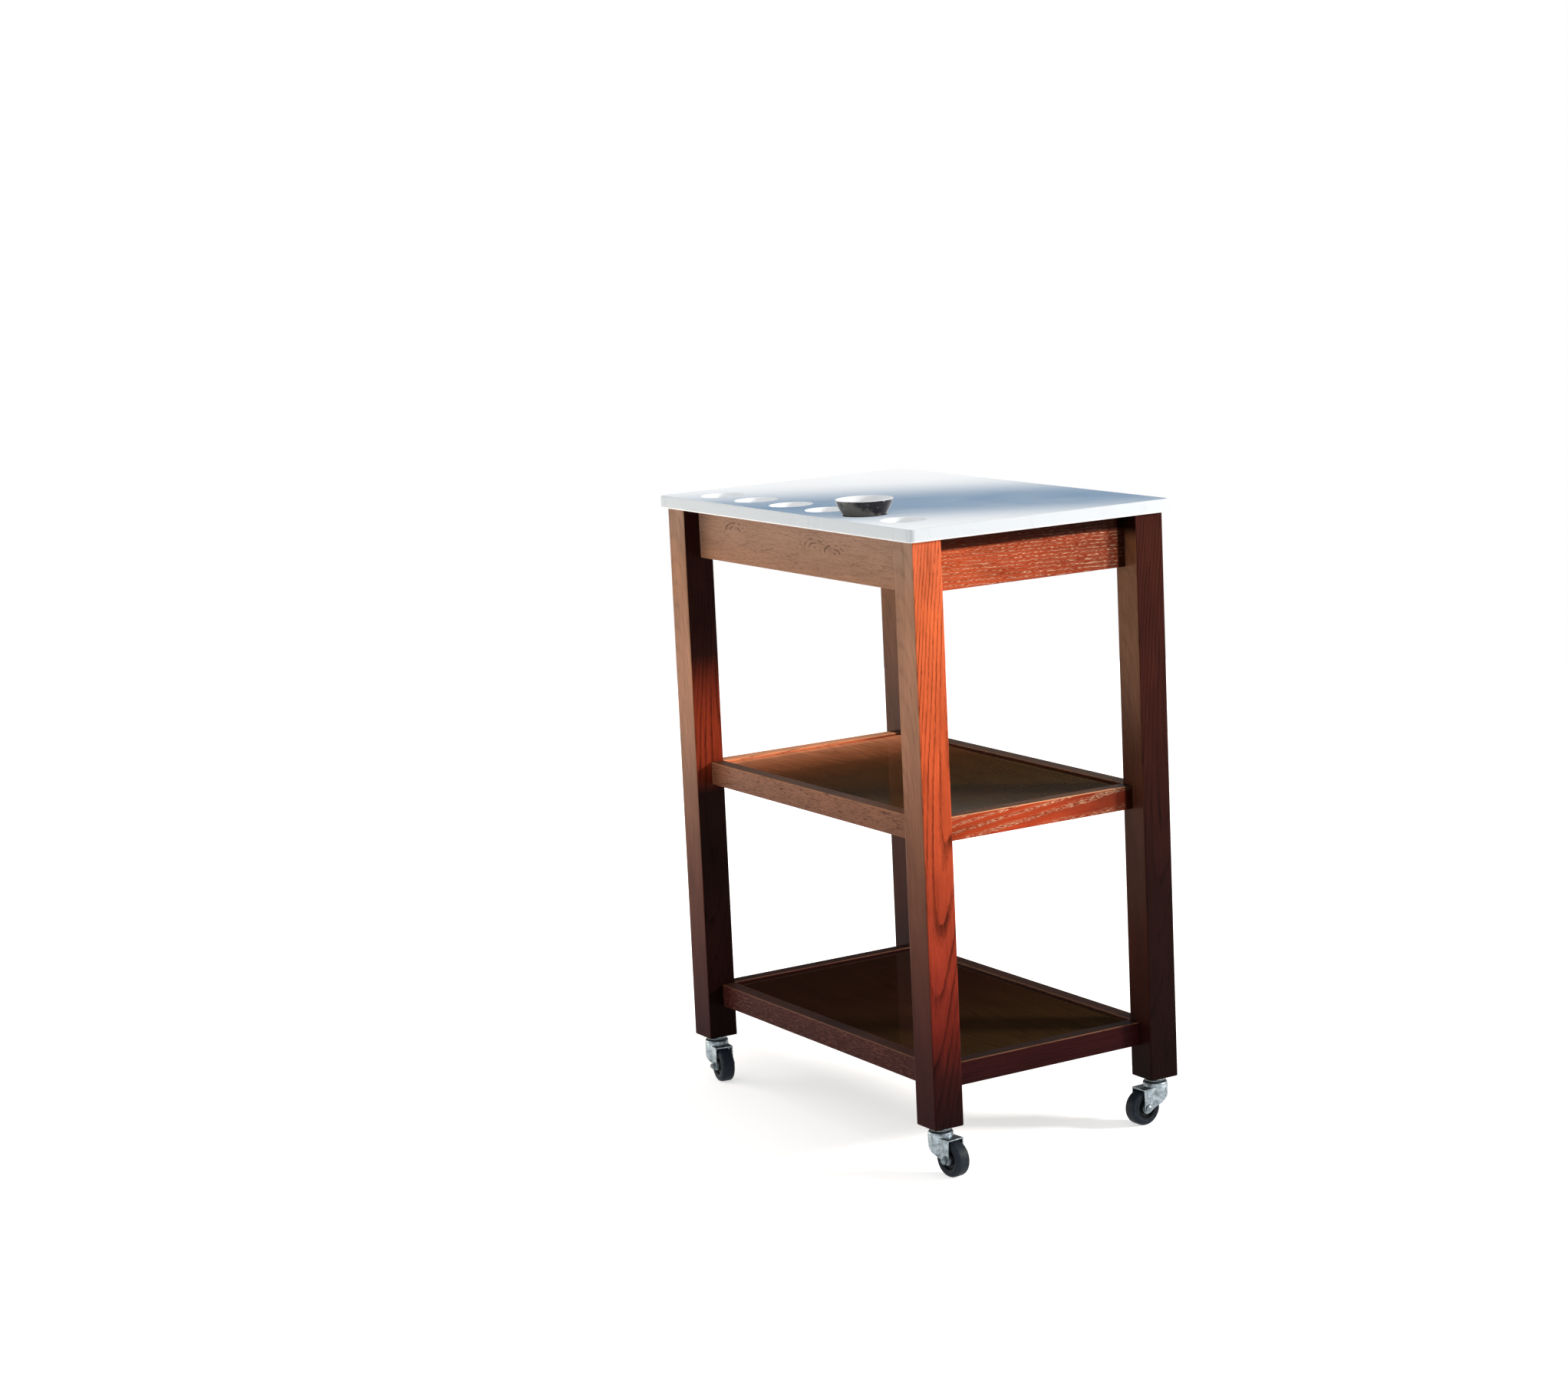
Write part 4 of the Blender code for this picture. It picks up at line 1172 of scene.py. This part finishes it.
@dataclass
class CastorSizes:
    """Sizes of one castor, about its swivel axis, with the wheel trailing towards +X."""

    trail: float = 0.025
    tyre_radius: float = 0.0255
    tyre_facets: int = 26
    tyre_width: float = 0.021
    tyre_shoulder: float = 0.005
    tyre_depth: float = 0.009
    tyre_ring_starts: tuple[float, float] = (0.0016, 0.0036)
    tyre_ring_width: float = 0.0009
    tyre_ring_depth: float = 0.0005
    hub_inset: float = 0.00075
    hub_web_inset: float = 0.004
    hub_boss_rim: float = 0.0007
    hub_ease: float = 0.0004
    hub_boss_flare: float = 0.0006
    hub_ring_back: tuple[float, float, float] = (0.0042, 0.0036, 0.0030)
    hub_ring_rise: float = 0.0008
    hub_rim_back: tuple[float, float, float] = (0.0022, 0.0018, 0.0014)
    axle_radius: float = 0.003
    bush_radius: float = 0.0046
    bush_flange_radius: float = 0.0078
    bush_flange: float = 0.0012
    sheet: float = 0.0018
    sheet_ease: float = 0.0005
    side_clearance: float = 0.0017
    top_clearance: float = 0.0012
    lug_radius: float = 0.0065
    hood_bulge: float = 0.004
    hood_depth: float = 0.008
    dome_height: float = 0.0066
    dome_round: float = 0.0026
    ball_radius: float = 0.0015
    ball_count: int = 8
    ball_inset: float = 0.006
    cage_half_width: float = 0.0021
    cage_half_height: float = 0.00045
    cup_height: float = 0.0031
    cup_inset: float = 0.0014
    cup_roll: float = 0.0010
    cup_hem: float = 0.0006
    neck_radius: float = 0.0042
    rivet_radius: float = 0.0066
    rivet_height: float = 0.0026
    stem_radius: float = 0.005
    stem_length: float = 0.030
    stem_ease: float = 0.001
    nut_radius: float = 0.0056
    nut_height: float = 0.0044
    nut_chamfer: float = 0.0011
    nut_chamfer_height: float = 0.0008
    thread_end: float = 0.002
    thread_pitch: float = 0.0008
    thread_depth: float = 0.00035
    thread_tip: float = 0.0006
    head_radius: float = 0.0054
    head_edge: float = 0.0012
    head_rise: float = 0.0022
    gap: float = 0.0003
    tool_past: float = 0.002
    tool_half: float = 0.05

    @property
    def axle_height(self) -> float:
        """Height of the axle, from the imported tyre, which stands on a flat of its outline."""
        return self.tyre_radius * math.cos(math.pi / self.tyre_facets)

    @property
    def wheel_radius(self) -> float:
        """The tyre's radius, which just reaches the floor."""
        return self.axle_height

    @property
    def tyre_seat(self) -> float:
        """Radius at which the tyre sits on the hub."""
        return self.tyre_radius - self.tyre_depth

    @property
    def inner_width(self) -> float:
        """Room between the fork's sides."""
        return self.tyre_width + 2 * self.side_clearance

    @property
    def outer_width(self) -> float:
        """Width over the fork's sides."""
        return self.inner_width + 2 * self.sheet

    @property
    def dome_radius(self) -> float:
        """Radius of the fork's round hood and of its dome."""
        return self.outer_width / 2 + self.hood_bulge

    @property
    def plate_underside(self) -> float:
        """Height of the plate over the wheel."""
        return self.axle_height + self.tyre_radius + self.top_clearance

    @property
    def dome_top(self) -> float:
        """Height of the dome that the balls run on."""
        return self.plate_underside + self.sheet + self.dome_height

    @property
    def ball_level(self) -> float:
        """Height of the balls' middles."""
        return self.dome_top + self.gap + self.ball_radius


@dataclass(frozen=True)
class CastorStand:
    """Which leg a castor is under, on which side of the middle, and the angle at which it stands at rest."""

    corner: str
    sign_x: int
    sign_y: int
    degrees: float


@dataclass(frozen=True)
class CastorPiece:
    """One piece of a castor: its shared mesh, finish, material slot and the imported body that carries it."""

    name: str
    mesh: Mesh
    finish: Material
    slot: str
    carrier: str


@dataclass
class Castors:
    """The four swivel castors, whose meshes are shared and which each stand at their own angle."""

    sizes: CastorSizes
    leg_x: float = 0.3065
    leg_y: float = 0.186
    stands: tuple[CastorStand, ...] = (
        CastorStand("front_left", -1, -1, -10.0),
        CastorStand("front_right", 1, -1, 6.0),
        CastorStand("back_left", -1, 1, 186.0),
        CastorStand("back_right", 1, 1, -87.0),
    )

    def build(self) -> None:
        """Builds each piece once and sets it at the four corners."""
        zinc = ZincPlate().material()
        # The darker plate on the bolt and nut, and the darkened bright steel, paint dark reflections that set
        # them off from the fork
        darkened_zinc = ZincPlate("darkened_zinc_plated_steel", "#8b969c", "#40474b").material()
        steel = ZincPlate("turned_bright_steel", "#7d868b", "#4a5054", roughness=0.22).material()
        rubber = MouldedPolymer("moulded_black_rubber", "#141a22", "#35404d", roughness=0.50).material()
        nylon = MouldedPolymer("moulded_black_nylon", "#0c0f13", "#262d35", roughness=0.40,
                               dusty=0.35).material()
        race = CastorPiece("race", self._race(), zinc, "zinc_plate", "frame")
        swivel_pieces = (
            CastorPiece("fork", self._fork(), zinc, "zinc_plate", "swivel"),
            CastorPiece("ball_cage", self._balls(), steel, "bearing_steel", "swivel"),
        )
        axle_pieces = (
            CastorPiece("axle_bolt", self._bolt(), darkened_zinc, "zinc_plate", "swivel"),
            CastorPiece("axle_nut", self._nut(), darkened_zinc, "zinc_plate", "swivel"),
            CastorPiece("axle_bush", self._bush(), steel, "bearing_steel", "swivel"),
            CastorPiece("hub", self._hub(), nylon, "hub_plastic", "wheel"),
            CastorPiece("tyre", self._tyre(), rubber, "tyre_rubber", "wheel"),
        )
        for stand in self.stands:
            prefix = "castor_" + stand.corner
            stem = Matrix.Translation((stand.sign_x * self.leg_x, stand.sign_y * self.leg_y, 0.0))
            swivel = stem @ Matrix.Rotation(math.radians(stand.degrees), 4, "Z")
            axle = swivel @ Matrix.Translation((self.sizes.trail, 0.0, self.sizes.axle_height))
            self._set(prefix, race, stem)
            for piece in swivel_pieces:
                self._set(prefix, piece, swivel)
            for piece in axle_pieces:
                self._set(prefix, piece, axle)
            repaint(prefix + "_socket", zinc)

    def _set(self, prefix: str, piece: CastorPiece, place: Matrix) -> None:
        """Sets one piece in its place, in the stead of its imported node.

        Args:
            prefix: The castor's name.
            piece: The piece.
            place: Where its own origin goes.
        """
        node = f"{prefix}_{piece.name}"
        body = piece.carrier if piece.carrier == "frame" else f"{prefix}_{piece.carrier}"
        thing = mesh_object(node + "_fine", piece.mesh)
        thing.matrix_world = place
        place_piece(thing, body, piece.slot, piece.finish, node)

    def _along_axle(self, mesh: Mesh) -> Mesh:
        """Lays a mesh made about Z along the axle, its top towards +Y."""
        mesh.transform(Matrix.Rotation(math.radians(-90), 4, "X"))
        return mesh

    def _mirrored(self, upper: Profile) -> Profile:
        """Adds the lower half of a profile that is the same above and below."""
        return upper + [(radius, -height) for radius, height in reversed(upper)]

    def _tyre(self) -> Mesh:
        """Turns the rubber tyre, with full shoulders and moulded rings on its sides.

        Returns:
            The tyre, about the axle.
        """
        s = self.sizes
        half = s.tyre_width / 2
        upper = [(s.tyre_seat, half - s.gap)]
        for start in s.tyre_ring_starts:
            ring = s.tyre_seat + start
            upper += [(ring, half), (ring + s.tyre_ring_width * 0.3, half - s.tyre_ring_depth),
                      (ring + s.tyre_ring_width * 0.7, half - s.tyre_ring_depth),
                      (ring + s.tyre_ring_width, half)]
        upper += arc((s.wheel_radius - s.tyre_shoulder, half - s.tyre_shoulder), s.tyre_shoulder, 84, 0, 9)
        return self._along_axle(turned("tyre", self._mirrored(upper), segments=96, ring=True, angle=55))

    def _hub(self) -> Mesh:
        """Turns the nylon wheel centre: boss, dished web with a raised ring, and rim.

        Returns:
            The hub, about the axle.
        """
        s = self.sizes
        bore = s.bush_radius + s.gap
        rim = s.tyre_seat - s.gap
        boss_half = s.inner_width / 2 - s.gap - s.bush_flange - s.gap
        half, web_half = s.tyre_width / 2 - s.hub_inset, s.tyre_width / 2 - s.hub_web_inset
        boss = s.bush_flange_radius + s.hub_boss_rim
        ring_start, ring_top, ring_end = [rim - back for back in s.hub_ring_back]
        wall_foot, wall_top, rim_start = [rim - back for back in s.hub_rim_back]
        upper = [(bore, boss_half), (boss - s.hub_ease, boss_half), (boss, boss_half - s.hub_ease),
                 (boss + s.hub_boss_flare, web_half), (ring_start, web_half),
                 (ring_top, web_half + s.hub_ring_rise), (ring_end, web_half), (wall_foot, web_half),
                 (wall_top, half - s.hub_ease), (rim_start, half), (rim, half)]
        return self._along_axle(turned("hub", self._mirrored(upper), segments=72, ring=True))

    def _bush(self) -> Mesh:
        """Turns the flanged steel sleeve on the bolt.

        Returns:
            The bush, about the axle.
        """
        s = self.sizes
        flange, bore = s.inner_width / 2 - s.gap, s.axle_radius + s.gap
        upper = [(bore, flange), (s.bush_flange_radius - s.gap, flange),
                 (s.bush_flange_radius, flange - s.gap), (s.bush_flange_radius, flange - s.bush_flange),
                 (s.bush_radius, flange - s.bush_flange)]
        return self._along_axle(turned("axle_bush", self._mirrored(upper), segments=48, ring=True))

    def _bolt(self) -> Mesh:
        """Turns the axle bolt, with a domed head and a threaded end.

        Returns:
            The bolt, about the axle.
        """
        s = self.sizes
        seat = s.outer_width / 2 + s.gap
        end = -seat - s.nut_height - s.gap - s.thread_end
        turns = [math.pi / 2 * i / 10 for i in range(11)]
        dome = [(s.head_radius * math.sin(t), seat + s.head_edge + s.head_rise * math.cos(t)) for t in turns]
        shank = [(s.head_radius, seat), (s.axle_radius, seat)]
        z = -seat - s.nut_height * 0.6
        while z > end + s.thread_pitch:
            shank += [(s.axle_radius, z), (s.axle_radius - s.thread_depth, z - s.thread_pitch / 2)]
            z -= s.thread_pitch
        shank += [(s.axle_radius - s.thread_tip, end), (0.0, end)]
        return self._along_axle(turned("axle_bolt", dome + shank, segments=32))

    def _nut(self) -> Mesh:
        """Builds the hexagon nut, with chamfered corners.

        Returns:
            The nut, about the axle.
        """
        s = self.sizes
        near = -s.outer_width / 2 - s.gap
        far = near - s.nut_height
        hexagon = mesh_object("hexagon", prism("nut", arc((0, 0), s.nut_radius, 0, 300, 5), far, near))
        cone = [(0.0, near), (s.nut_radius, near), (s.nut_radius, far + s.nut_chamfer_height),
                (s.nut_radius - s.nut_chamfer, far), (0.0, far)]
        chamfer = mesh_object("chamfer", turned("chamfer", cone, segments=48))
        round_hole = arc((0, 0), s.axle_radius + s.gap, 0, 348.75, 31)
        bore = mesh_object("nut_bore", prism("nut_bore", round_hole, near - 2 * s.nut_height,
                                             near + s.nut_height))
        boolean(hexagon, chamfer, "INTERSECT")
        boolean(hexagon, bore)
        return self._along_axle(smooth(settled_mesh(hexagon, chamfer, bore), angle=25))

    def _race(self) -> Mesh:
        """Turns the top race: stem, rolled cup over the balls, neck and riveted end.

        Returns:
            The race, about the swivel axis.
        """
        s = self.sizes
        cup_bottom = s.ball_level + s.ball_radius + s.gap
        cup_top = cup_bottom + s.cup_height
        radius = s.dome_radius - s.cup_inset
        stem_top = cup_top + s.gap + s.stem_length
        neck_end = s.plate_underside - s.gap
        stem = [(0.0, stem_top), (s.stem_radius - s.stem_ease, stem_top),
                (s.stem_radius, stem_top - s.stem_ease), (s.stem_radius, cup_top)]
        rolled = arc((radius - s.cup_roll, cup_top - s.cup_roll), s.cup_roll, 90, 0, 4)
        hem = arc((radius - s.cup_hem, cup_bottom + s.cup_hem), s.cup_hem, 0, -90, 3)
        neck = [(s.neck_radius, cup_bottom), (s.neck_radius, neck_end)]
        rivet = [(s.rivet_radius, neck_end), (s.rivet_radius, neck_end - s.rivet_height * 0.5),
                 (s.rivet_radius * 0.8, neck_end - s.rivet_height * 0.85),
                 (s.rivet_radius * 0.4, neck_end - s.rivet_height), (0.0, neck_end - s.rivet_height)]
        return turned("race", stem + rolled + hem + neck + rivet, segments=56)

    def _balls(self) -> Mesh:
        """Builds the bearing balls in their thin cage.

        Returns:
            Balls and cage, about the swivel axis.
        """
        s = self.sizes
        ring = s.dome_radius - s.ball_inset
        inside, outside = ring - s.cage_half_width, ring + s.cage_half_width
        low, high = s.ball_level - s.cage_half_height, s.ball_level + s.cage_half_height
        section = [(inside, high), (outside, high), (outside, low), (inside, low)]
        cage = turned("cage", section, segments=48, ring=True)
        bm = bmesh.new()
        bm.from_mesh(cage)
        for index in range(s.ball_count):
            turn = 2 * math.pi * index / s.ball_count
            spot = Matrix.Translation((ring * math.cos(turn), ring * math.sin(turn), s.ball_level))
            bmesh.ops.create_uvsphere(bm, u_segments=16, v_segments=10, radius=s.ball_radius, matrix=spot)
        bm.to_mesh(cage)
        bm.free()
        return smooth(cage)

    def _keyhole(self, radius: float, half_width: float, front: float) -> Profile:
        """Plan of the fork: a round hood that runs forward into two parallel sides."""
        meet = math.degrees(math.asin(half_width / radius))
        return arc((0.0, 0.0), radius, meet, 360.0 - meet, 36) + [(front, -half_width), (front, half_width)]

    def _fork(self) -> Mesh:
        """Builds the pressed yoke: hood, two lugged sides, plate over the wheel and dome under the balls.

        Returns:
            The fork, about the swivel axis.
        """
        s = self.sizes
        plate_top = s.plate_underside + s.sheet
        front = s.trail + s.lug_radius
        foot = s.axle_height - s.lug_radius - s.tool_past
        sideways = Matrix.Rotation(math.radians(90), 4, "X")
        hood = self._keyhole(s.dome_radius, s.outer_width / 2, front)
        yoke = mesh_object("yoke", prism("fork", hood, foot, plate_top))
        radius = s.dome_radius - s.gap
        sunk = plate_top - s.sheet / 2
        rounding = arc((radius - s.dome_round, s.dome_top - s.dome_round), s.dome_round, 90, 0, 6)
        dome_side = [(0.0, s.dome_top)] + rounding + [(radius, sunk), (0.0, sunk)]
        dome = mesh_object("dome", turned("dome", dome_side, segments=64))
        inside = self._keyhole(s.dome_radius - s.sheet, s.inner_width / 2, front + s.tool_past)
        hollow = mesh_object("hollow", prism("hollow", inside, foot - s.tool_past, s.plate_underside))
        skirt_mesh = prism("skirt", self._skirt(front), -s.tool_half, s.tool_half)
        skirt_mesh.transform(sideways)
        skirt = mesh_object("skirt", skirt_mesh)
        axle_round = arc((0, 0), s.axle_radius + s.gap, 0, 345, 23)
        axle_bore = prism("axle_bore", axle_round, -s.tool_half, s.tool_half)
        axle_bore.transform(Matrix.Translation((s.trail, 0, s.axle_height)) @ sideways)
        axle_hole = mesh_object("axle_hole", axle_bore)
        neck_round = arc((0, 0), s.neck_radius + s.gap, 0, 345, 23)
        neck_bore = prism("neck_bore", neck_round, s.plate_underside - s.tool_past, s.dome_top + s.tool_past)
        neck_hole = mesh_object("neck_hole", neck_bore)
        boolean(yoke, dome, "UNION")
        for tool in (hollow, skirt, axle_hole, neck_hole):
            boolean(yoke, tool)
        soften(yoke, s.sheet_ease, segments=2, angle=50)
        return smooth(settled_mesh(yoke, dome, hollow, skirt, axle_hole, neck_hole), angle=32)

    def _skirt(self, front: float) -> Profile:
        """Draws the side outline of what is cut away below the fork's slanting lower edge.

        Args:
            front: How far forward the fork's sides reach.

        Returns:
            Points of (x, z).
        """
        s = self.sizes
        rear = Vector((-s.dome_radius, s.plate_underside - s.hood_depth))
        axle = Vector((s.trail, s.axle_height))
        run = axle - rear
        slant = math.atan2(run.y, run.x) - math.asin(s.lug_radius / run.length)
        start = rear - s.dome_radius * Vector((math.cos(slant), math.sin(slant)))
        lug = arc(tuple(axle), s.lug_radius, math.degrees(slant) - 90.0, 0.0, 16)
        floor, clear = s.axle_height - 2 * s.lug_radius, front + s.dome_radius
        return [tuple(start)] + lug + [(clear, s.axle_height), (clear, floor), (start.x, floor)]


@dataclass(frozen=True)
class Softbox:
    """A flat lamp that points at a spot on the trolley."""

    name: str
    place: Point
    aim: Point
    size: tuple[float, float]
    watts: float
    colour: str

    def build(self) -> None:
        """Hangs the lamp."""
        lamp = bpy.data.lights.new(self.name, "AREA")
        lamp.shape = "RECTANGLE"
        lamp.size, lamp.size_y = self.size
        lamp.energy = self.watts
        lamp.color = linear(self.colour)[:3]
        thing = bpy.data.objects.new(self.name, lamp)
        thing.location = self.place
        thing.rotation_euler = (Vector(self.aim) - Vector(self.place)).to_track_quat("-Z", "Y").to_euler()
        thing.visible_camera = False
        bpy.context.scene.collection.objects.link(thing)
        log.info("%s hung", self.name)


@dataclass
class Studio:
    """White studio with a pale floor, soft lamps and the photograph's camera."""

    eye: Point = (3.99755, -2.62156, 1.42926)
    right: Point = (0.521146, 0.852179, -0.046874)
    down: Point = (0.117228, -0.125875, -0.985095)
    forward: Point = (-0.845378, 0.507883, -0.165499)
    focal_pixels: float = 4329.17
    picture_width: int = 2044
    sensor_mm: float = 36.0
    far_clip: float = 50.0
    floor_radius: float = 4.0
    floor_grain_mm: float = 40.0
    floor_near: float = 0.35
    floor_far: float = 1.5
    floor_glow: float = 0.58
    ambient_side: float = 0.46
    ambient_top: float = 0.38
    lamps: tuple[Softbox, ...] = (
        Softbox("low_sun", (3.23, 3.89, 2.21), (0.1, 0.0, 0.5), (0.72, 0.72), 274.0, "#fffaf4"),
        Softbox("front_fill", (0.6, -2.7, 1.2), (0.0, -0.2, 0.55), (1.8, 1.8), 10.0, "#fbf9f7"),
        Softbox("side_sheen", (-1.55, -1.12, 0.34), (0.0, -0.19, 0.50), (1.1, 0.44), 14.0, "#f6ecd8"),
        Softbox("overhead", (0.0, 0.0, 2.9), (0.0, 0.0, 0.9), (1.2, 1.0), 9.0, WHITE),
    )
    card_place: tuple[float, float] = (-1.885, 1.133)
    card_width: float = 5.0
    card_low: float = 0.02
    card_high: float = 1.24
    card_even: float = 0.4
    card_glow: float = 1.08
    # The dark foot and blue band are painted reflections: dark in the shelf panels, and blue-grey across the
    # slab top in place of shade
    card_shades: Ramp = ((1.02, "#1c140e"), (1.06, WHITE), (1.118, WHITE), (1.144, "#226a95"),
                         (1.178, "#226a95"), (1.193, WHITE))

    def build(self) -> None:
        """Sets the camera, floor, world and lamps."""
        self._camera()
        self._floor()
        self._card()
        self._world()
        for lamp in self.lamps:
            lamp.build()
        bpy.context.scene.view_settings.view_transform = "Standard"

    def _camera(self) -> None:
        """Puts the camera where the photograph was taken from."""
        lens = bpy.data.cameras.new("camera")
        lens.sensor_fit = "HORIZONTAL"
        lens.sensor_width = self.sensor_mm
        lens.lens = self.focal_pixels / self.picture_width * self.sensor_mm
        lens.clip_end = self.far_clip
        camera = bpy.data.objects.new("camera", lens)
        bpy.context.scene.collection.objects.link(camera)
        axes = Matrix((self.right, [-c for c in self.down], [-c for c in self.forward])).transposed()
        camera.matrix_world = Matrix.Translation(self.eye) @ axes.to_4x4()
        bpy.context.scene.camera = camera

    def _floor(self) -> None:
        """Lays a round floor of matt white paint, almost even, that fades out into the white behind it."""
        disc = bmesh.new()
        bmesh.ops.create_circle(disc, cap_ends=True, segments=96, radius=self.floor_radius)
        mesh = mesh_from("floor", disc)
        floor = mesh_object("floor", mesh)
        material, tree, shader = new_material("matt_white_floor")
        place = add_node(tree, "TexCoord").outputs["Object"]
        fine = add_node(tree, "TexNoise", {"Vector": place, "Scale": 1 / (self.floor_grain_mm * MM),
                                           "Detail": 2.0})
        tint = add_node(tree, "MixRGB", {"Fac": fine, "Color1": "#f7f7f7", "Color2": "#fbfbfb"})
        far = add_node(tree, "VectorMath", {0: place}, operation="LENGTH").outputs["Value"]
        lift = add_node(tree, "MapRange", {"Value": far, "From Min": self.floor_near,
                                           "From Max": self.floor_far, "To Min": self.floor_glow,
                                           "To Max": 1.0}, interpolation_type="SMOOTHSTEP")
        glow = add_node(tree, "Math", {0: lift, 1: self._seen(tree)}, operation="MULTIPLY")
        fill_inputs(tree, shader, {"Base Color": tint, "Roughness": 0.9, "Specular IOR Level": 0.0,
                                   "Emission Color": WHITE, "Emission Strength": glow})
        mesh.materials.append(material)

    def _card(self) -> None:
        """Stands a shaded card behind the trolley, which shows only in the gloss of its level surfaces."""
        half = self.card_width / 2
        low, high = self.card_low, self.card_high
        corners = [(-half, low), (half, low), (half, high), (-half, high)]
        sheet = bmesh.new()
        sheet.faces.new([sheet.verts.new((x, 0.0, z)) for x, z in corners])
        mesh = mesh_from("card", sheet)
        card = mesh_object("card", mesh)
        card.location = (*self.card_place, 0.0)
        card.rotation_euler = (0.0, 0.0, math.atan2(self.card_place[1], self.card_place[0]) - math.pi / 2)
        card.visible_camera = card.visible_diffuse = card.visible_shadow = card.visible_transmission = False
        material, tree, shader = new_material("shaded_card")
        place = add_node(tree, "SeparateXYZ", {"Vector": add_node(tree, "TexCoord").outputs["Object"]})
        share = add_node(tree, "MapRange", {"Value": place.outputs["Z"], "From Max": high})
        shade = add_node(tree, "ValToRGB", {"Fac": share},
                         stops=[(z / high, colour) for z, colour in self.card_shades])
        aside = add_node(tree, "Math", {0: place.outputs["X"]}, operation="ABSOLUTE")
        fade = add_node(tree, "MapRange", {"Value": aside, "From Min": half * self.card_even,
                                           "From Max": half}, interpolation_type="SMOOTHSTEP")
        faded = add_node(tree, "MixRGB", {"Fac": fade, "Color1": shade, "Color2": WHITE})
        fill_inputs(tree, shader, {"Base Color": BLACK, "Specular IOR Level": 0.0, "Emission Color": faded,
                                   "Emission Strength": self.card_glow})
        mesh.materials.append(material)

    def _seen(self, tree: Tree) -> Node:
        """Tells rays that show a surface from rays that only light one.

        Args:
            tree: A material's or the world's node tree.

        Returns:
            One for rays to the eye, in a reflection or through glass, and nought for light.
        """
        rays = add_node(tree, "LightPath").outputs
        seen = add_node(tree, "Math", {0: rays["Is Camera Ray"], 1: rays["Is Glossy Ray"]},
                        operation="MAXIMUM")
        return add_node(tree, "Math", {0: seen, 1: rays["Is Transmission Ray"]}, operation="MAXIMUM")

    def _world(self) -> None:
        """White to the eye, in reflections and through glass; its light is softer, least from above."""
        world = bpy.data.worlds.new("studio")
        world.use_nodes = True
        bpy.context.scene.world = world
        tree = world.node_tree
        way = add_node(tree, "SeparateXYZ", {"Vector": add_node(tree, "TexCoord").outputs["Generated"]})
        fill = add_node(tree, "MapRange", {"Value": way.outputs["Z"], "To Min": self.ambient_side,
                                           "To Max": self.ambient_top})
        strength = add_node(tree, "MapRange", {"Value": self._seen(tree), "To Min": fill, "To Max": 1.0})
        fill_inputs(tree, tree.nodes["Background"], {"Color": WHITE, "Strength": strength})


def main() -> None:
    """Builds and dresses the trolley, then the studio round it."""
    logging.basicConfig(level=logging.INFO, format="%(message)s")
    TimberFrame().dress()
    top = StoneTop()
    top.build()
    SauceBowl(top).build()
    Castors(CastorSizes()).build()
    Studio().build()


if __name__ == "__main__":
    main()
